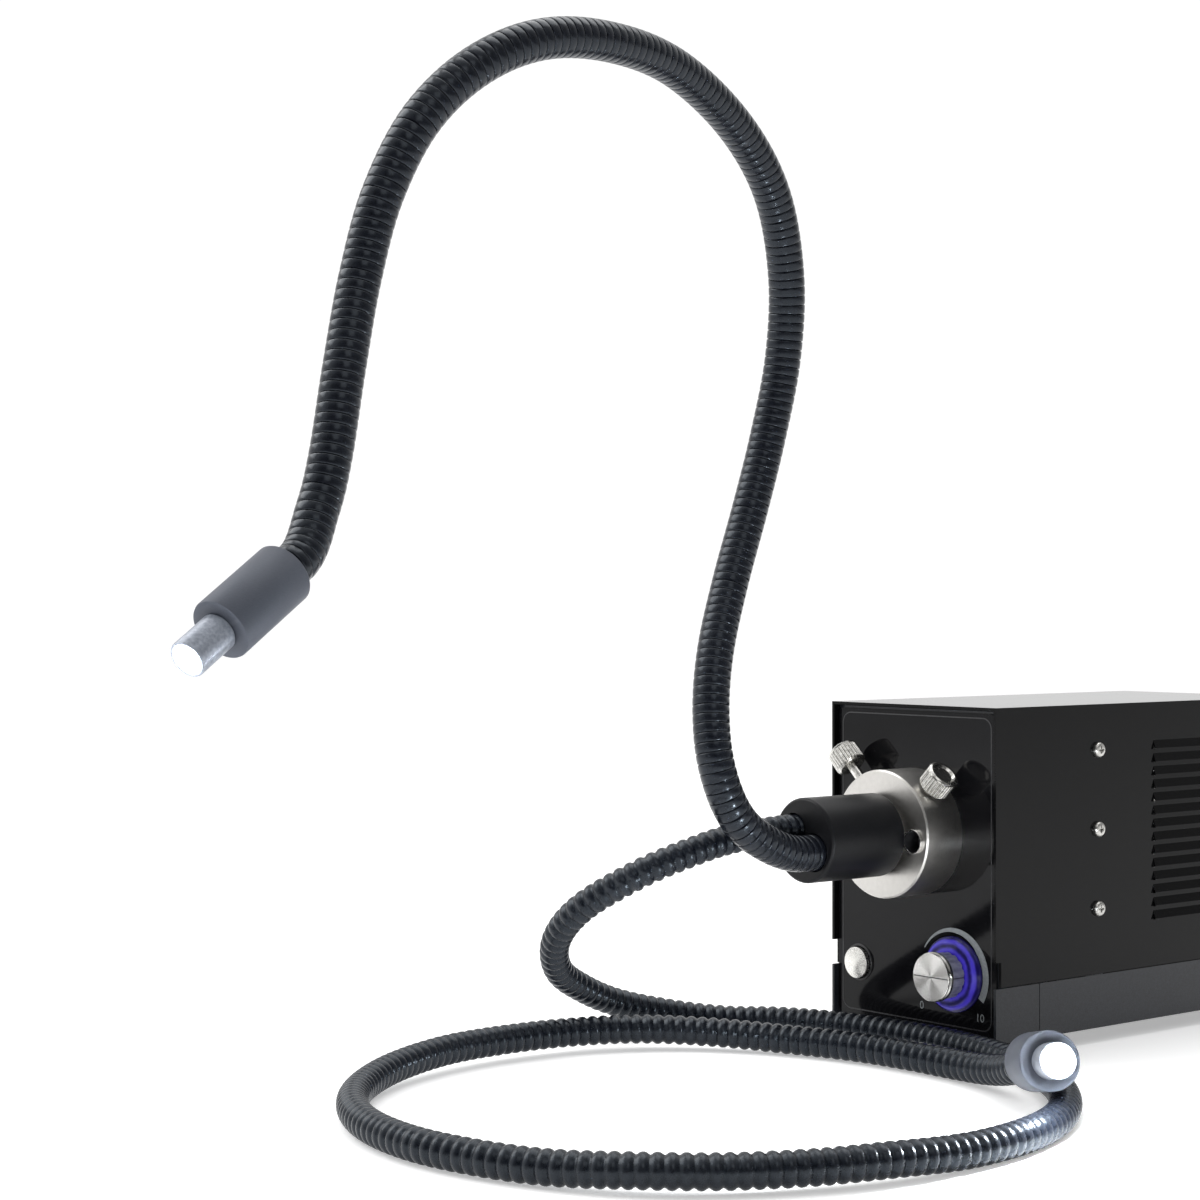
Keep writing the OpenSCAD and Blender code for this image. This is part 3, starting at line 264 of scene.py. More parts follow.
@dataclass(frozen=True)
class Finish:
    """A procedural finish: two colours mixed by grain, with its own roughness and relief."""

    name: str
    dark: Colour
    light: Colour
    rough: tuple[float, float] = (0.4, 0.55)
    metallic: float = 0.0
    grain: float = 400.0
    relief: float = 0.0
    specular: float = 0.5
    specular_tint: Colour = (1.0, 1.0, 1.0)
    coat: float = 0.0
    pattern: Pattern = Pattern.NONE
    centre: Point = (0.0, 0.0, 0.0)
    glow: float = 0.0
    glow_colour: Colour = (1.0, 1.0, 1.0)
    glow_dip: float = 0.3
    rings: float = 900.0
    fade: tuple[float, float] | None = None
    transmission: float = 0.0
    edge_wear_and_highlight: float = 0.0

    def build(self) -> bpy.types.Material:
        """Makes the material, or finds it where it was made before.

        Returns:
            The node material, shared by all the pieces with this finish.
        """
        title = f"finish_{self.name}"
        material = bpy.data.materials.get(title)
        if material is not None:
            return material
        material = bpy.data.materials.new(title)
        material.use_nodes = True
        graph = Graph(material.node_tree)
        moved = graph.add("Mapping", "Vector", {
            "Vector": graph.add("TexCoord", "Object", {}),
            "Location": tuple(-c for c in self.centre)})
        value = self._detail(graph, moved)
        if self.fade:
            value = self._faded(graph, moved, value)
        base = graph.ramp(value, (0.3, self.dark), (0.7, self.light))
        # Convex edges lightened: wear together with a painted highlight.
        if self.edge_wear_and_highlight:
            base = self._worn_and_highlit_edges(graph, base)
        rough = graph.add("MapRange", "Result", {
            "Value": value, "To Min": self.rough[0], "To Max": self.rough[1]})
        shader = material.node_tree.nodes["Principled BSDF"]
        graph.feed(shader, {
            "Metallic": self.metallic, "Specular IOR Level": self.specular,
            "Specular Tint": (*self.specular_tint, 1), "Coat Weight": self.coat,
            "Coat Roughness": 0.12, "Transmission Weight": self.transmission,
            "Base Color": base, "Roughness": rough,
        })
        if self.relief:
            bump = {"Strength": 0.6, "Distance": self.relief, "Height": value}
            graph.feed(shader, {"Normal": graph.add("Bump", "Normal", bump)})
        if self.glow:
            dim = tuple(self.glow_dip * c for c in self.glow_colour)
            graph.feed(shader, {
                "Emission Strength": self.glow,
                "Emission Color": graph.ramp(value, (0.25, dim), (0.75, self.glow_colour)),
            })
        return material

    def _detail(self, graph: Graph, moved: bpy.types.NodeSocket) -> bpy.types.NodeSocket:
        """Makes the value that breaks up the surface.

        Args:
            graph: where the nodes go.
            moved: places on the piece, seen from the finish's centre.

        Returns:
            The grain, or half grain and half pattern, from 0 to 1.
        """
        along = moved
        if self.pattern is Pattern.BRUSHED:
            along = graph.add("Mapping", "Vector", {"Vector": moved, "Scale": (1, 1, 30)})
        grain = graph.add("TexNoise", "Fac", {"Vector": along, "Scale": self.grain, "Detail": 4})
        if self.pattern in (Pattern.NONE, Pattern.BRUSHED):
            return grain
        second = self._pattern(graph, moved)
        return graph.math("ADD", graph.math("MULTIPLY", second, 0.5),
                          graph.math("MULTIPLY", grain, 0.5), clamp=True)

    def _pattern(self, graph: Graph, moved: bpy.types.NodeSocket) -> bpy.types.NodeSocket:
        """Makes the turned, speckled or board pattern, or the spun cap's painted highlight.

        Args:
            graph: where the nodes go.
            moved: places on the piece, seen from the finish's centre.

        Returns:
            The pattern's value.
        """
        if self.pattern is Pattern.TURNED:
            return graph.add("TexWave", "Fac", {
                "Vector": moved, "Scale": self.rings, "Distortion": 1.5, "Detail Scale": 2,
            }, wave_type="RINGS", rings_direction="Y")
        # Spun cap: four light and dark sectors round the axis, a painted highlight standing in for the sheen of
        # spun metal.
        if self.pattern is Pattern.SPUN_PAINTED_HIGHLIGHT:
            turn = graph.add("Mapping", "Vector", {
                "Vector": moved, "Rotation": (math.radians(90), 0, 0)})
            round_it = graph.add("TexGradient", "Fac", {"Vector": turn}, gradient_type="RADIAL")
            sine = graph.math("SINE", graph.math("MULTIPLY", round_it, 4 * 2 * math.pi))
            return graph.add("MapRange", "Result", {"Value": sine, "From Min": -1})
        if self.pattern is Pattern.SPECKLED:
            return graph.add("TexVoronoi", "Distance", {
                "Vector": moved, "Scale": self.grain * 2.5})
        return graph.add("TexBrick", "Fac", {
            "Vector": moved, "Scale": 120, "Color1": (0, 0, 0, 1), "Color2": (0.3, 0.3, 0.3, 1),
            "Mortar": (1, 1, 1, 1)})

    def _faded(self, graph: Graph, moved: bpy.types.NodeSocket,
               value: bpy.types.NodeSocket) -> bpy.types.NodeSocket:
        """Takes the pattern to its dark end between two distances from the finish's axis.

        Args:
            graph: where the nodes go.
            moved: places on the piece, seen from the finish's centre.
            value: the pattern.

        Returns:
            The pattern, faded outwards.
        """
        flat = graph.add("VectorMath", "Vector", {0: moved, 1: (1, 0, 1)}, operation="MULTIPLY")
        away = graph.add("VectorMath", "Value", {0: flat}, operation="LENGTH")
        left = graph.add("MapRange", "Result", {
            "Value": away, "From Min": self.fade[0], "From Max": self.fade[1], "To Min": 1.0,
            "To Max": 0.0})
        return graph.math("MULTIPLY", value, left)

    def _worn_and_highlit_edges(self, graph: Graph, base: bpy.types.NodeSocket) -> bpy.types.NodeSocket:
        """Lightens the convex edges and ridges a little: partly wear, where paint or anodising rubs thin, and
        partly a painted highlight along rims and ridges.

        Args:
            graph: where the nodes go.
            base: the surface's colour.

        Returns:
            The colour with its worn and painted-highlight edges.
        """
        edge = graph.add("MapRange", "Result", {
            "Value": graph.add("NewGeometry", "Pointiness", {}), "From Min": 0.52,
            "From Max": 0.62, "To Max": self.edge_wear_and_highlight})
        return graph.add("Mix", "Result", {"Factor": edge, "A": base, "B": (0.45, 0.45, 0.47, 1)},
                         data_type="RGBA")


COVER = Finish("cover_paint", (0.0030, 0.0030, 0.0032), (0.0048, 0.0048, 0.0052), (0.10, 0.15),
               grain=900, relief=0.000004, pattern=Pattern.SPECKLED, specular=0.12)
CHASSIS = Finish("chassis_paint", (0.014, 0.0155, 0.019), (0.022, 0.0245, 0.030), (0.20, 0.28),
                 grain=900, relief=0.000006, pattern=Pattern.SPECKLED, specular=0.3)
OVERLAY = Finish("overlay_gloss", (0.004, 0.004, 0.0048), (0.0055, 0.0055, 0.0065), (0.05, 0.08),
                 grain=60, specular=0.16)
PRINT = Finish("grey_print", (0.19, 0.21, 0.22), (0.28, 0.30, 0.31), (0.35, 0.5), grain=1500)
BORDER = Finish("border_print", (0.013, 0.013, 0.015), (0.021, 0.021, 0.024), (0.35, 0.5),
                grain=1500)
ZINC = Finish("zinc_screw", (0.42, 0.41, 0.39), (0.72, 0.71, 0.68), (0.22, 0.42), 1.0, 1200,
              0.00003)
RUBBER = Finish("foot_rubber", (0.012, 0.012, 0.012), (0.03, 0.03, 0.03), (0.7, 0.9), grain=700,
                relief=0.00006)
SATIN = Finish("satin_collar", (0.50, 0.485, 0.46), (0.66, 0.645, 0.62), (0.26, 0.38), 1.0, 500,
               0.00001, pattern=Pattern.TURNED, centre=(0, 0, PORT_Z))
BARREL = Finish("polished_barrel", (0.60, 0.59, 0.57), (0.78, 0.77, 0.75), (0.12, 0.24), 1.0, 500,
                0.00001, pattern=Pattern.TURNED, centre=(0, 0, PORT_Z))
BUTTON = Finish("button_metal", (0.55, 0.54, 0.51), (0.82, 0.81, 0.78), (0.2, 0.34), 1.0, 900,
                0.00001, pattern=Pattern.SPECKLED)
THUMB = Finish("thumbscrew_metal", (0.50, 0.49, 0.46), (0.80, 0.79, 0.76), (0.16, 0.32), 1.0, 900)
# The spun cap's light sectors are a painted highlight.
CAP_PAINTED_HIGHLIGHT = Finish("spun_cap_painted_highlight", (0.62, 0.61, 0.59), (0.92, 0.91, 0.89), (0.16, 0.26), 1.0, 1200,
             pattern=Pattern.SPUN_PAINTED_HIGHLIGHT, centre=(KNOB_X, 0, KNOB_Z))
# The knob body glows faintly blue: painted light from the glowing ring beside it, since the knob is no lamp.
KNOB_PAINTED_BLUE_LIGHT = Finish("knob_body", (0.17, 0.175, 0.23), (0.26, 0.265, 0.33), (0.26, 0.36), 0.1, 500,
              glow=0.02, glow_colour=(0.5, 0.5, 1.0))
HALO = Finish("halo_glow", (0.005, 0.004, 0.05), (0.035, 0.028, 0.32), (0.12, 0.28), grain=260,
              relief=0.0003, specular=0.4, coat=0.15, glow=0.26, glow_colour=(0.10, 0.06, 0.90),
              glow_dip=0.14, pattern=Pattern.TURNED, rings=84, centre=(KNOB_X, 0, KNOB_Z),
              fade=(0.0134, 0.0147))
LAMP = Finish("halo_lamp", (0.3, 0.35, 0.9), (0.6, 0.65, 1.0), (0.2, 0.3), glow=3.0,
              glow_colour=(0.12, 0.1, 1.0))
BLACK_PLASTIC = Finish("black_plastic", (0.014, 0.014, 0.015), (0.03, 0.03, 0.032), (0.45, 0.6),
                       grain=800, relief=0.00004)
# The shell, neck bands, guide ribs and head get lightened convex edges: some wear and a painted highlight on
# rims and ridges.
SHELL = Finish("shell_anodised", (0.0030, 0.0032, 0.0040), (0.0060, 0.0062, 0.0078), (0.34, 0.44),
               grain=900, relief=0.00001, pattern=Pattern.SPECKLED, specular=0.20, edge_wear_and_highlight=0.03)
NECK = Finish("neck_bands", (0.0030, 0.0038, 0.0066), (0.0060, 0.0074, 0.0120), (0.18, 0.28), 0.0,
              700, 0.00001, specular=0.36, specular_tint=(0.80, 0.90, 1.0), edge_wear_and_highlight=0.05)
GUIDE = Finish("guide_ribs", (0.0034, 0.0046, 0.0078), (0.0070, 0.0090, 0.0140), (0.22, 0.34), 0.0,
               700, 0.00001, specular=0.38, specular_tint=(0.80, 0.90, 1.0), edge_wear_and_highlight=0.05)
HEAD = Finish("head_anodised", (0.058, 0.066, 0.086), (0.086, 0.097, 0.124), (0.50, 0.62), 0.25,
              900, 0.00001, pattern=Pattern.BRUSHED, specular=0.4, edge_wear_and_highlight=0.06)
# The tip sleeve glows faintly: painted glare, since the steel sleeve is no lamp and only stands by the lit fibre
# end.
TIP_WITH_PAINTED_GLARE = Finish("tip_metal_painted_glare", (0.15, 0.16, 0.19), (0.25, 0.27, 0.31), (0.30, 0.42), 0.5, 900, glow=0.10,
             glow_colour=(0.75, 0.85, 1.0), glow_dip=0.7)
LENS = Finish("lens_lit", (0.9, 0.95, 1.0), (1.0, 1.0, 1.0), (0.1, 0.2), grain=2500, glow=14.0,
              glow_colour=(0.92, 0.96, 1.0))
FIBER = Finish("fiber_glass", (0.6, 0.65, 0.7), (0.85, 0.9, 0.95), (0.1, 0.2), grain=2500,
               pattern=Pattern.SPECKLED)
GLASS = Finish("clear_glass", (0.93, 0.96, 1.0), (1.0, 1.0, 1.0), (0.0, 0.05), transmission=1.0)
BRASS = Finish("brass_gold", (0.5, 0.36, 0.12), (0.75, 0.58, 0.25), (0.25, 0.4), 1.0, 900)
SINK = Finish("sink_metal", (0.010, 0.010, 0.012), (0.022, 0.022, 0.025), (0.4, 0.55), 0.3, 400,
              pattern=Pattern.BRUSHED)
SHEET = Finish("galvanised_sheet", (0.40, 0.41, 0.42), (0.62, 0.63, 0.64), (0.3, 0.5), 1.0, 120,
               pattern=Pattern.SPECKLED)
BOARD = Finish("green_board", (0.012, 0.09, 0.04), (0.03, 0.17, 0.08), (0.3, 0.45), grain=300,
               pattern=Pattern.BOARD, coat=0.3)
WHITE_BOARD = Finish("white_board", (0.75, 0.75, 0.73), (0.86, 0.86, 0.84), (0.3, 0.45))
PHOSPHOR = Finish("phosphor", (0.85, 0.7, 0.2), (0.95, 0.85, 0.4), (0.4, 0.6), grain=1200)
PARTS = Finish("moulded_parts", (0.10, 0.07, 0.04), (0.22, 0.15, 0.09), (0.4, 0.6), grain=300,
               pattern=Pattern.SPECKLED)
POT = Finish("pot_metal", (0.35, 0.36, 0.38), (0.55, 0.56, 0.58), (0.25, 0.4), 1.0, 700)
FLOOR = Finish("studio_floor", (0.84, 0.84, 0.84), (0.86, 0.86, 0.86), (0.7, 0.9), grain=3,
               specular=0.1, glow=0.40, glow_dip=0.95)


# ------------ mesh helpers


def make_object(name: str, verts: np.ndarray, faces: Sequence[Sequence[int]], finish: Finish,
                sharp_deg: float = 40) -> bpy.types.Object:
    """Makes a mesh object with smooth shading between sharp edges.

    Args:
        name: the piece's name.
        verts: its corners, in metres.
        faces: its faces, as indices of corners.
        finish: its finish.
        sharp_deg: edges that turn by more than this stay sharp.

    Returns:
        The linked object.
    """
    mesh = bpy.data.meshes.new(name)
    mesh.from_pydata([tuple(map(float, v)) for v in verts], [], [list(map(int, f)) for f in faces])
    mesh.validate()
    mesh.shade_smooth()
    mesh.set_sharp_from_angle(angle=math.radians(sharp_deg))
    mesh.materials.append(finish.build())
    made = bpy.data.objects.new(name, mesh)
    bpy.context.scene.collection.objects.link(made)
    return made


def frame_of(axis: Sequence[float]) -> tuple[np.ndarray, np.ndarray, np.ndarray]:
    """Finds directions across an axis.

    Args:
        axis: the axis, of any length.

    Returns:
        Two unit vectors across the axis, and the axis as a unit vector.
    """
    w = np.array(axis, float) / np.linalg.norm(axis)
    u = np.cross((0, 0, 1) if abs(w[2]) < 0.9 else (1, 0, 0), w)
    u /= np.linalg.norm(u)
    return u, np.cross(w, u), w


def lathe(name: str, profile: Profile, at: Sequence[float], axis: Sequence[float], finish: Finish,
          sides: int = 96, wobble: Callable[[float, float], float] | None = None,
          sharp_deg: float = 35) -> bpy.types.Object:
    """Makes a closed body of revolution.

    Args:
        name: the piece's name.
        profile: (radius, height along the axis) from the foot's middle to the top's middle.
        at: the foot's middle.
        axis: the direction of height.
        finish: its finish.
        sides: points round each ring.
        wobble: changes a radius by (angle, height), for knurls.
        sharp_deg: edges that turn by more than this stay sharp.

    Returns:
        The object.
    """
    u, v, w = frame_of(axis)
    foot = np.array(at, float)
    verts, faces, rings = [], [], []
    for r, h in profile:
        if r < 1e-7:
            rings.append([len(verts)])
            verts.append(foot + h * w)
            continue
        rings.append(list(range(len(verts), len(verts) + sides)))
        for k in range(sides):
            a = 2 * math.pi * k / sides
            radius = r + (wobble(a, h) if wobble else 0.0)
            verts.append(foot + h * w + radius * (math.cos(a) * u + math.sin(a) * v))
    for low, high in zip(rings, rings[1:]):
        for k in range(sides):
            n = (k + 1) % sides
            if len(low) == 1:
                faces.append((low[0], high[n], high[k]))
            elif len(high) == 1:
                faces.append((low[k], low[n], high[0]))
            else:
                faces.append((low[k], low[n], high[n], high[k]))
    return make_object(name, np.array(verts), faces, finish, sharp_deg)


def hose(name: str, route: Route, stretch: tuple[float, float], pitch: float, profile: Profile,
         side: Point, finish: Finish, sides: int = 32) -> tuple[bpy.types.Object, np.ndarray]:
    """Makes a ribbed tube along a route.

    Args:
        name: the piece's name.
        route: the curve it follows.
        stretch: lengths along the curve where it starts and ends.
        pitch: about how long one rib is.
        profile: (share of the pitch, radius) over one rib.
        side: a direction that the curve never takes.
        finish: its finish.
        sides: points round each ring.

    Returns:
        The object and its ring centres.
    """
    s0, s1 = stretch
    ribs = max(1, round((s1 - s0) / pitch))
    step = (s1 - s0) / ribs
    s = np.array([s0 + (i + f) * step for i in range(ribs) for f, _ in profile] + [s1])
    r = np.array([radius for _ in range(ribs) for _, radius in profile] + [profile[0][1]])
    centre, t = route.at(s), route.heading(s)
    a = np.cross(np.array(side, float), t)
    a /= np.linalg.norm(a, axis=1, keepdims=True)
    b = np.cross(t, a)
    angle = np.arange(sides) * 2 * math.pi / sides
    rings = centre[:, None] + r[:, None, None] * (np.cos(angle)[None, :, None] * a[:, None]
                                                  + np.sin(angle)[None, :, None] * b[:, None])
    k = np.arange(sides)
    n = (k + 1) % sides
    faces = [quad for i in range(len(s) - 1)
             for quad in np.stack([i * sides + k, i * sides + n, (i + 1) * sides + n,
                                   (i + 1) * sides + k], axis=1).tolist()]
    faces += [list(range(sides))[::-1], [(len(s) - 1) * sides + i for i in range(sides)]]
    return make_object(name, rings.reshape(-1, 3), faces, finish, 50), centre


def block(name: str, low: Point, high: Point, finish: Finish) -> bpy.types.Object:
    """Makes a plain block.

    Args:
        name: the piece's name.
        low: one corner.
        high: the opposite corner.
        finish: its finish.

    Returns:
        The object.
    """
    x, y, z = zip(low, high)
    verts = np.array([(a, b, c) for a in x for b in y for c in z])
    faces = [(0, 1, 3, 2), (4, 6, 7, 5), (0, 4, 5, 1), (2, 3, 7, 6), (0, 2, 6, 4), (1, 5, 7, 3)]
    return make_object(name, verts, faces, finish)


def soften(node: bpy.types.Object, finish: Finish, width: float) -> None:
    """Gives a carried-over solid its finish, and eased edges where its size allows.

    Args:
        node: the solid's object.
        finish: its finish.
        width: width of the eased edge; 0 leaves the edges sharp.
    """
    node.data.materials.clear()
    node.data.materials.append(finish.build())
    node.data.shade_smooth()
    node.data.set_sharp_from_angle(angle=math.radians(32))
    if not width:
        return
    weld = node.modifiers.new("weld", "WELD")
    weld.merge_threshold = 1e-6
    planar = node.modifiers.new("whole_faces", "DECIMATE")
    planar.decimate_type, planar.angle_limit = "DISSOLVE", math.radians(0.5)
    bevel = node.modifiers.new("eased_edges", "BEVEL")
    bevel.width, bevel.segments = width, 3
    bevel.limit_method, bevel.angle_limit = "ANGLE", math.radians(40)
    bevel.use_clamp_overlap = True
    even = node.modifiers.new("even_normals", "WEIGHTED_NORMAL")
    even.keep_sharp, even.weight = True, 100


# ------------ sub-assemblies


Dress = dict[str, tuple[Finish, float]]


@dataclass
class Assembly:
    """Part of the illuminator: solids that keep their shape, and pieces made here.

    DRESS gives each carried-over solid its finish and the width of its eased edges.
    """

    nodes: dict[str, bpy.types.Object]
    DRESS: ClassVar[Dress] = {}

    def build(self) -> None:
        """Puts its finish on every carried-over solid, then makes the other pieces."""
        for name, (finish, width) in self.DRESS.items():
            soften(self.nodes[name], finish, width)
        self.add_pieces()

    def add_pieces(self) -> None:
        """Makes the pieces that the solids lack; none unless a sub-assembly has some."""

    @staticmethod
    def own(piece: bpy.types.Object, body: str, slot: str, *replaced: str) -> None:
        """Puts a piece on the body that it moves with, and hides the solids that it stands for.

        Args:
            piece: the piece.
            body: the body that it rides on.
            slot: the record's name of its material; not used.
            *replaced: the solids that it replaces.
        """
        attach(piece, body)
        if replaced:
            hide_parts(*replaced)


@dataclass
class Housing(Assembly):
    """Cover, chassis, front and rear, with the fine line on the front."""

    line_half_width: float = 0.0400
    line_low: float = 0.0096
    line_high: float = 0.1300
    line_corner: float = 0.0045
    line_wide: float = 0.0005
    corner_steps: int = 8

    DRESS: ClassVar[Dress] = {
        "base_chassis": (CHASSIS, 0.0003), "top_cover": (COVER, 0.0),
        "front_plate": (CHASSIS, 0.0002), "front_overlay": (OVERLAY, 0.0002),
        "rear_panel": (CHASSIS, 0.0002), "cover_screws": (ZINC, 0.0001),
        "rear_screws": (ZINC, 0.0001), "rubber_feet": (RUBBER, 0.0004),
        "foot_screws": (ZINC, 0.0001),
    }

    def add_pieces(self) -> None:
        """Prints the fine line round the overlay's edge."""
        outline, inner = self.rounded(0.0), self.rounded(self.line_wide)
        levels = (Y_OVERLAY - PRINT_PROUD, Y_OVERLAY + PRINT_SUNK)
        n = len(outline)
        verts = np.array([(x, y, z) for y in levels for ring in (outline, inner) for x, z in ring])
        faces = []
        for k in range(n):
            m = (k + 1) % n
            faces += [(k, m, n + m, n + k), (2 * n + m, 2 * n + k, 3 * n + k, 3 * n + m),
                      (m, k, 2 * n + k, 2 * n + m), (n + k, n + m, 3 * n + m, 3 * n + k)]
        self.own(make_object("panel_border", verts, faces, BORDER), "housing", "overlay_gloss")

    def rounded(self, inset: float) -> list[tuple[float, float]]:
        """Goes round the line's rounded rectangle.

        Args:
            inset: how far inside the line's outer edge.

        Returns:
            Its corners in X and Z.
        """
        half, r = self.line_half_width - inset, self.line_corner - inset
        low, high = self.line_low + inset, self.line_high - inset
        points = []
        for cx, cz, start in ((half - r, low + r, -90), (half - r, high - r, 0),
                              (-half + r, high - r, 90), (-half + r, low + r, 180)):
            for k in range(self.corner_steps + 1):
                a = math.radians(start + k * 90 / self.corner_steps)
                points.append((cx + r * math.cos(a), cz + r * math.sin(a)))
        return points


@dataclass
class LightPort(Assembly):
    """Collar, bush and the two knurled thumbscrews."""

    bush_at: Point = (0.01774, -0.10385, PORT_Z - 0.0016)
    bore_r: float = 0.00418
    bore_deep: float = 0.0072
    bore_wall: float = 0.00012
    thumb_y: float = -0.10055
    thumb_seat: float = 0.0258
    thumb_r: float = 0.0063
    thumb_high: float = 0.009
    left_backed_out: float = 0.0092
    knurl_deep: float = 0.00034
    knurls: int = 28

    DRESS: ClassVar[Dress] = {
        "port_collar": (SATIN, 0.0003), "collar_screws": (ZINC, 0.0001),
        "index_bush": (BARREL, 0.0001), "left_thumb_stud": (THUMB, 0.0001),
        "right_thumb_stud": (THUMB, 0.0001),
    }

    def add_pieces(self) -> None:
        """Makes the black liner that paints the shade in the bush's bore, and the thumbscrews' heads."""
        self.bush_bore_shade_liner()
        self.thumb_head("left", -1, self.left_backed_out)
        self.thumb_head("right", 1, 0.0)

    def bush_bore_shade_liner(self) -> None:
        """Makes a black cup inside the steel bush: painted shade for the depth of the bore."""
        r, deep, wall = self.bore_r, self.bore_deep, self.bore_wall
        # Black lining: painted shade, where the bore is dark only by its depth.
        bore = lathe("index_bore_shade_liner", [(0, 0), (r, 0), (r, deep), (r - wall, deep), (r - wall, wall),
                                    (0, wall)], self.bush_at, FRONTWARD, BLACK_PLASTIC, 64)
        self.own(bore, "housing", "black_plastic")

    def thumb_head(self, name: str, side: int, out: float) -> None:
        """Makes a knurled head with a dished end.

        Args:
            name: left or right.
            side: -1 for the left one and 1 for the right one.
            out: how far it is backed out.
        """
        axis = math.sqrt(0.5) * np.array([side, 0, 1])
        foot = np.array([0, self.thumb_y, PORT_Z]) + (self.thumb_seat + out) * axis
        r, h, deep = self.thumb_r, self.thumb_high, self.knurl_deep
        profile = [(0, 0), (r - 0.0015, 0), (r - 0.0012, 0.0001), (r - 0.0005, 0.0008),
                   (r - deep, 0.0011), (r - deep, h - 0.0014), (r - 0.0002, h - 0.0013),
                   (r - 0.0001, h - 0.0006), (r - 0.0006, h - 0.0001), (r - 0.0008, h),
                   (r - 0.0016, h), (r - 0.0018, h - 0.0001), (r - 0.0026, h - 0.0008),
                   (0, h - 0.0009)]
        head = lathe(f"{name}_thumb_knurl", profile, foot, axis, THUMB, 288, self.knurl, 25)
        self.own(head, f"{name}_head", "polished_metal", f"{name}_thumb_head")

    def knurl(self, angle: float, height: float) -> float:
        """Gives the knurl's height over its middle.

        Args:
            angle: round the head.
            height: along the head.

        Returns:
            What it adds to the radius; nothing beyond the knurl's ends.
        """
        if not 0.0010 <= height <= self.thumb_high - 0.00135:
            return 0.0
        return self.knurl_deep * (2 * abs(math.cos(self.knurls / 2 * angle)) ** 0.7 - 1)


@dataclass
class Controls(Assembly):
    """Dimming knob with its glowing ring and dial, and the push button."""

    cap_r: float = 0.0096
    cap_back: float = -0.1012
    cap_thick: float = 0.0027
    body_r: float = 0.0089
    line_half: float = 0.0002
    dial_start: float = math.radians(150)
    dial_stop: float = math.radians(-32)
    dial_r: float = 0.0179
    dial_steps: int = 80
    dial_widest: float = 0.0030
    digit_size: float = 0.0044
    button_x: float = -0.0306
    button_z: float = 0.029
    well_outer: float = 0.0074
    well_inner: float = 0.00655

    DRESS: ClassVar[Dress] = {
        "pot_shaft": (POT, 0.0001), "power_button": (BUTTON, 0.0004), "halo_lamps": (LAMP, 0.0),
        "potentiometer_body": (POT, 0.0002), "switch_body": (BLACK_PLASTIC, 0.0002),
        "knob_body": (KNOB_PAINTED_BLUE_LIGHT, 0.0002), "halo_ring": (HALO, 0.0003),
    }

    def add_pieces(self) -> None:
        """Makes the knob's front, the dial and the button's ring."""
        self.dial()
        self.digit("0", -0.0168, -0.0155)
        self.digit("10", 0.0135, -0.0168)
        self.knob_front()
        self.index_line("knob_index_face", (0.0007 - self.cap_r, self.cap_r - 0.0007),
                        (-self.cap_thick - 0.00002, -self.cap_thick + 0.00005))
        self.index_line("knob_index_side", (self.body_r - 0.0006, self.body_r - 0.0003),
                        (0.0001, 0.0067))
        self.button_well()

    def knob_front(self) -> None:
        """Makes the turned cap with the groove round it."""
        r, thick = self.cap_r, self.cap_thick
        cap = lathe("knob_cap_turned", [
            (0, 0), (r - 0.0001, 0), (r, 0.0001), (r, 0.0012), (r - 0.0004, 0.00165),
            (r - 0.0007, 0.0017), (r - 0.0007, 0.0020), (r - 0.00035, 0.00205),
            (r - 0.00025, 0.00215), (r - 0.00025, thick - 0.00025), (r - 0.0005, thick),
            (0, thick)], (KNOB_X, self.cap_back, KNOB_Z), FRONTWARD, CAP_PAINTED_HIGHLIGHT, 128)
        self.own(cap, "knob", "cap_metal", "knob_cap")

    def index_line(self, name: str, x: tuple[float, float], y: tuple[float, float]) -> None:
        """Makes one stretch of the knob's dark index line.

        Args:
            name: the piece's name.
            x: from where to where it runs, from the knob's axis.
            y: its back and front, from the cap's back.
        """
        back, wide = self.cap_back, self.line_half
        line = block(name, (KNOB_X + x[0], back + y[0], KNOB_Z - wide),
                     (KNOB_X + x[1], back + y[1], KNOB_Z + wide), BLACK_PLASTIC)
        self.own(line, "knob", "black_plastic")

    def dial(self) -> None:
        """Prints the grey scale that widens round the knob."""
        outer, count = self.dial_r, self.dial_steps
        verts, faces = [], []
        for k in range(count + 1):
            t = k / count
            a = self.dial_start + (self.dial_stop - self.dial_start) * t
            wide = min(0.0005 + 0.0042 * t**1.1, self.dial_widest)
            for y in (Y_OVERLAY - PRINT_PROUD, Y_OVERLAY + PRINT_SUNK):
                for r in (outer - wide, outer):
                    verts.append((KNOB_X + r * math.cos(a), y, KNOB_Z + r * math.sin(a)))
        for i in range(0, 4 * count, 4):
            j = i + 4
            faces += [(i, i + 1, j + 1, j), (i + 2, j + 2, j + 3, i + 3),
                      (i + 1, i + 3, j + 3, j + 1), (i, j, j + 2, i + 2)]
        last = 4 * count
        faces += [(0, 2, 3, 1), (last, last + 1, last + 3, last + 2)]
        scale = make_object("dial_scale", np.array(verts), faces, PRINT)
        self.own(scale, "housing", "overlay_gloss")

    def digit(self, digits: str, x: float, z: float) -> None:
        """Prints a plain number at an end of the dial.

        Args:
            digits: the number.
            x: its middle, from the knob's axis.
            z: its foot, from the knob's axis.
        """
        curve = bpy.data.curves.new(f"dial_digit_{digits}", "FONT")
        curve.body, curve.size, curve.align_x = digits, self.digit_size, "CENTER"
        curve.extrude = PRINT_PROUD / 2
        curve.materials.append(PRINT.build())
        text = bpy.data.objects.new(f"dial_digit_{digits}", curve)
        text.location = (KNOB_X + x, Y_OVERLAY - PRINT_PROUD / 2, KNOB_Z + z)
        text.rotation_euler = (math.radians(90), 0, 0)
        bpy.context.scene.collection.objects.link(text)
        self.own(text, "housing", "overlay_gloss")

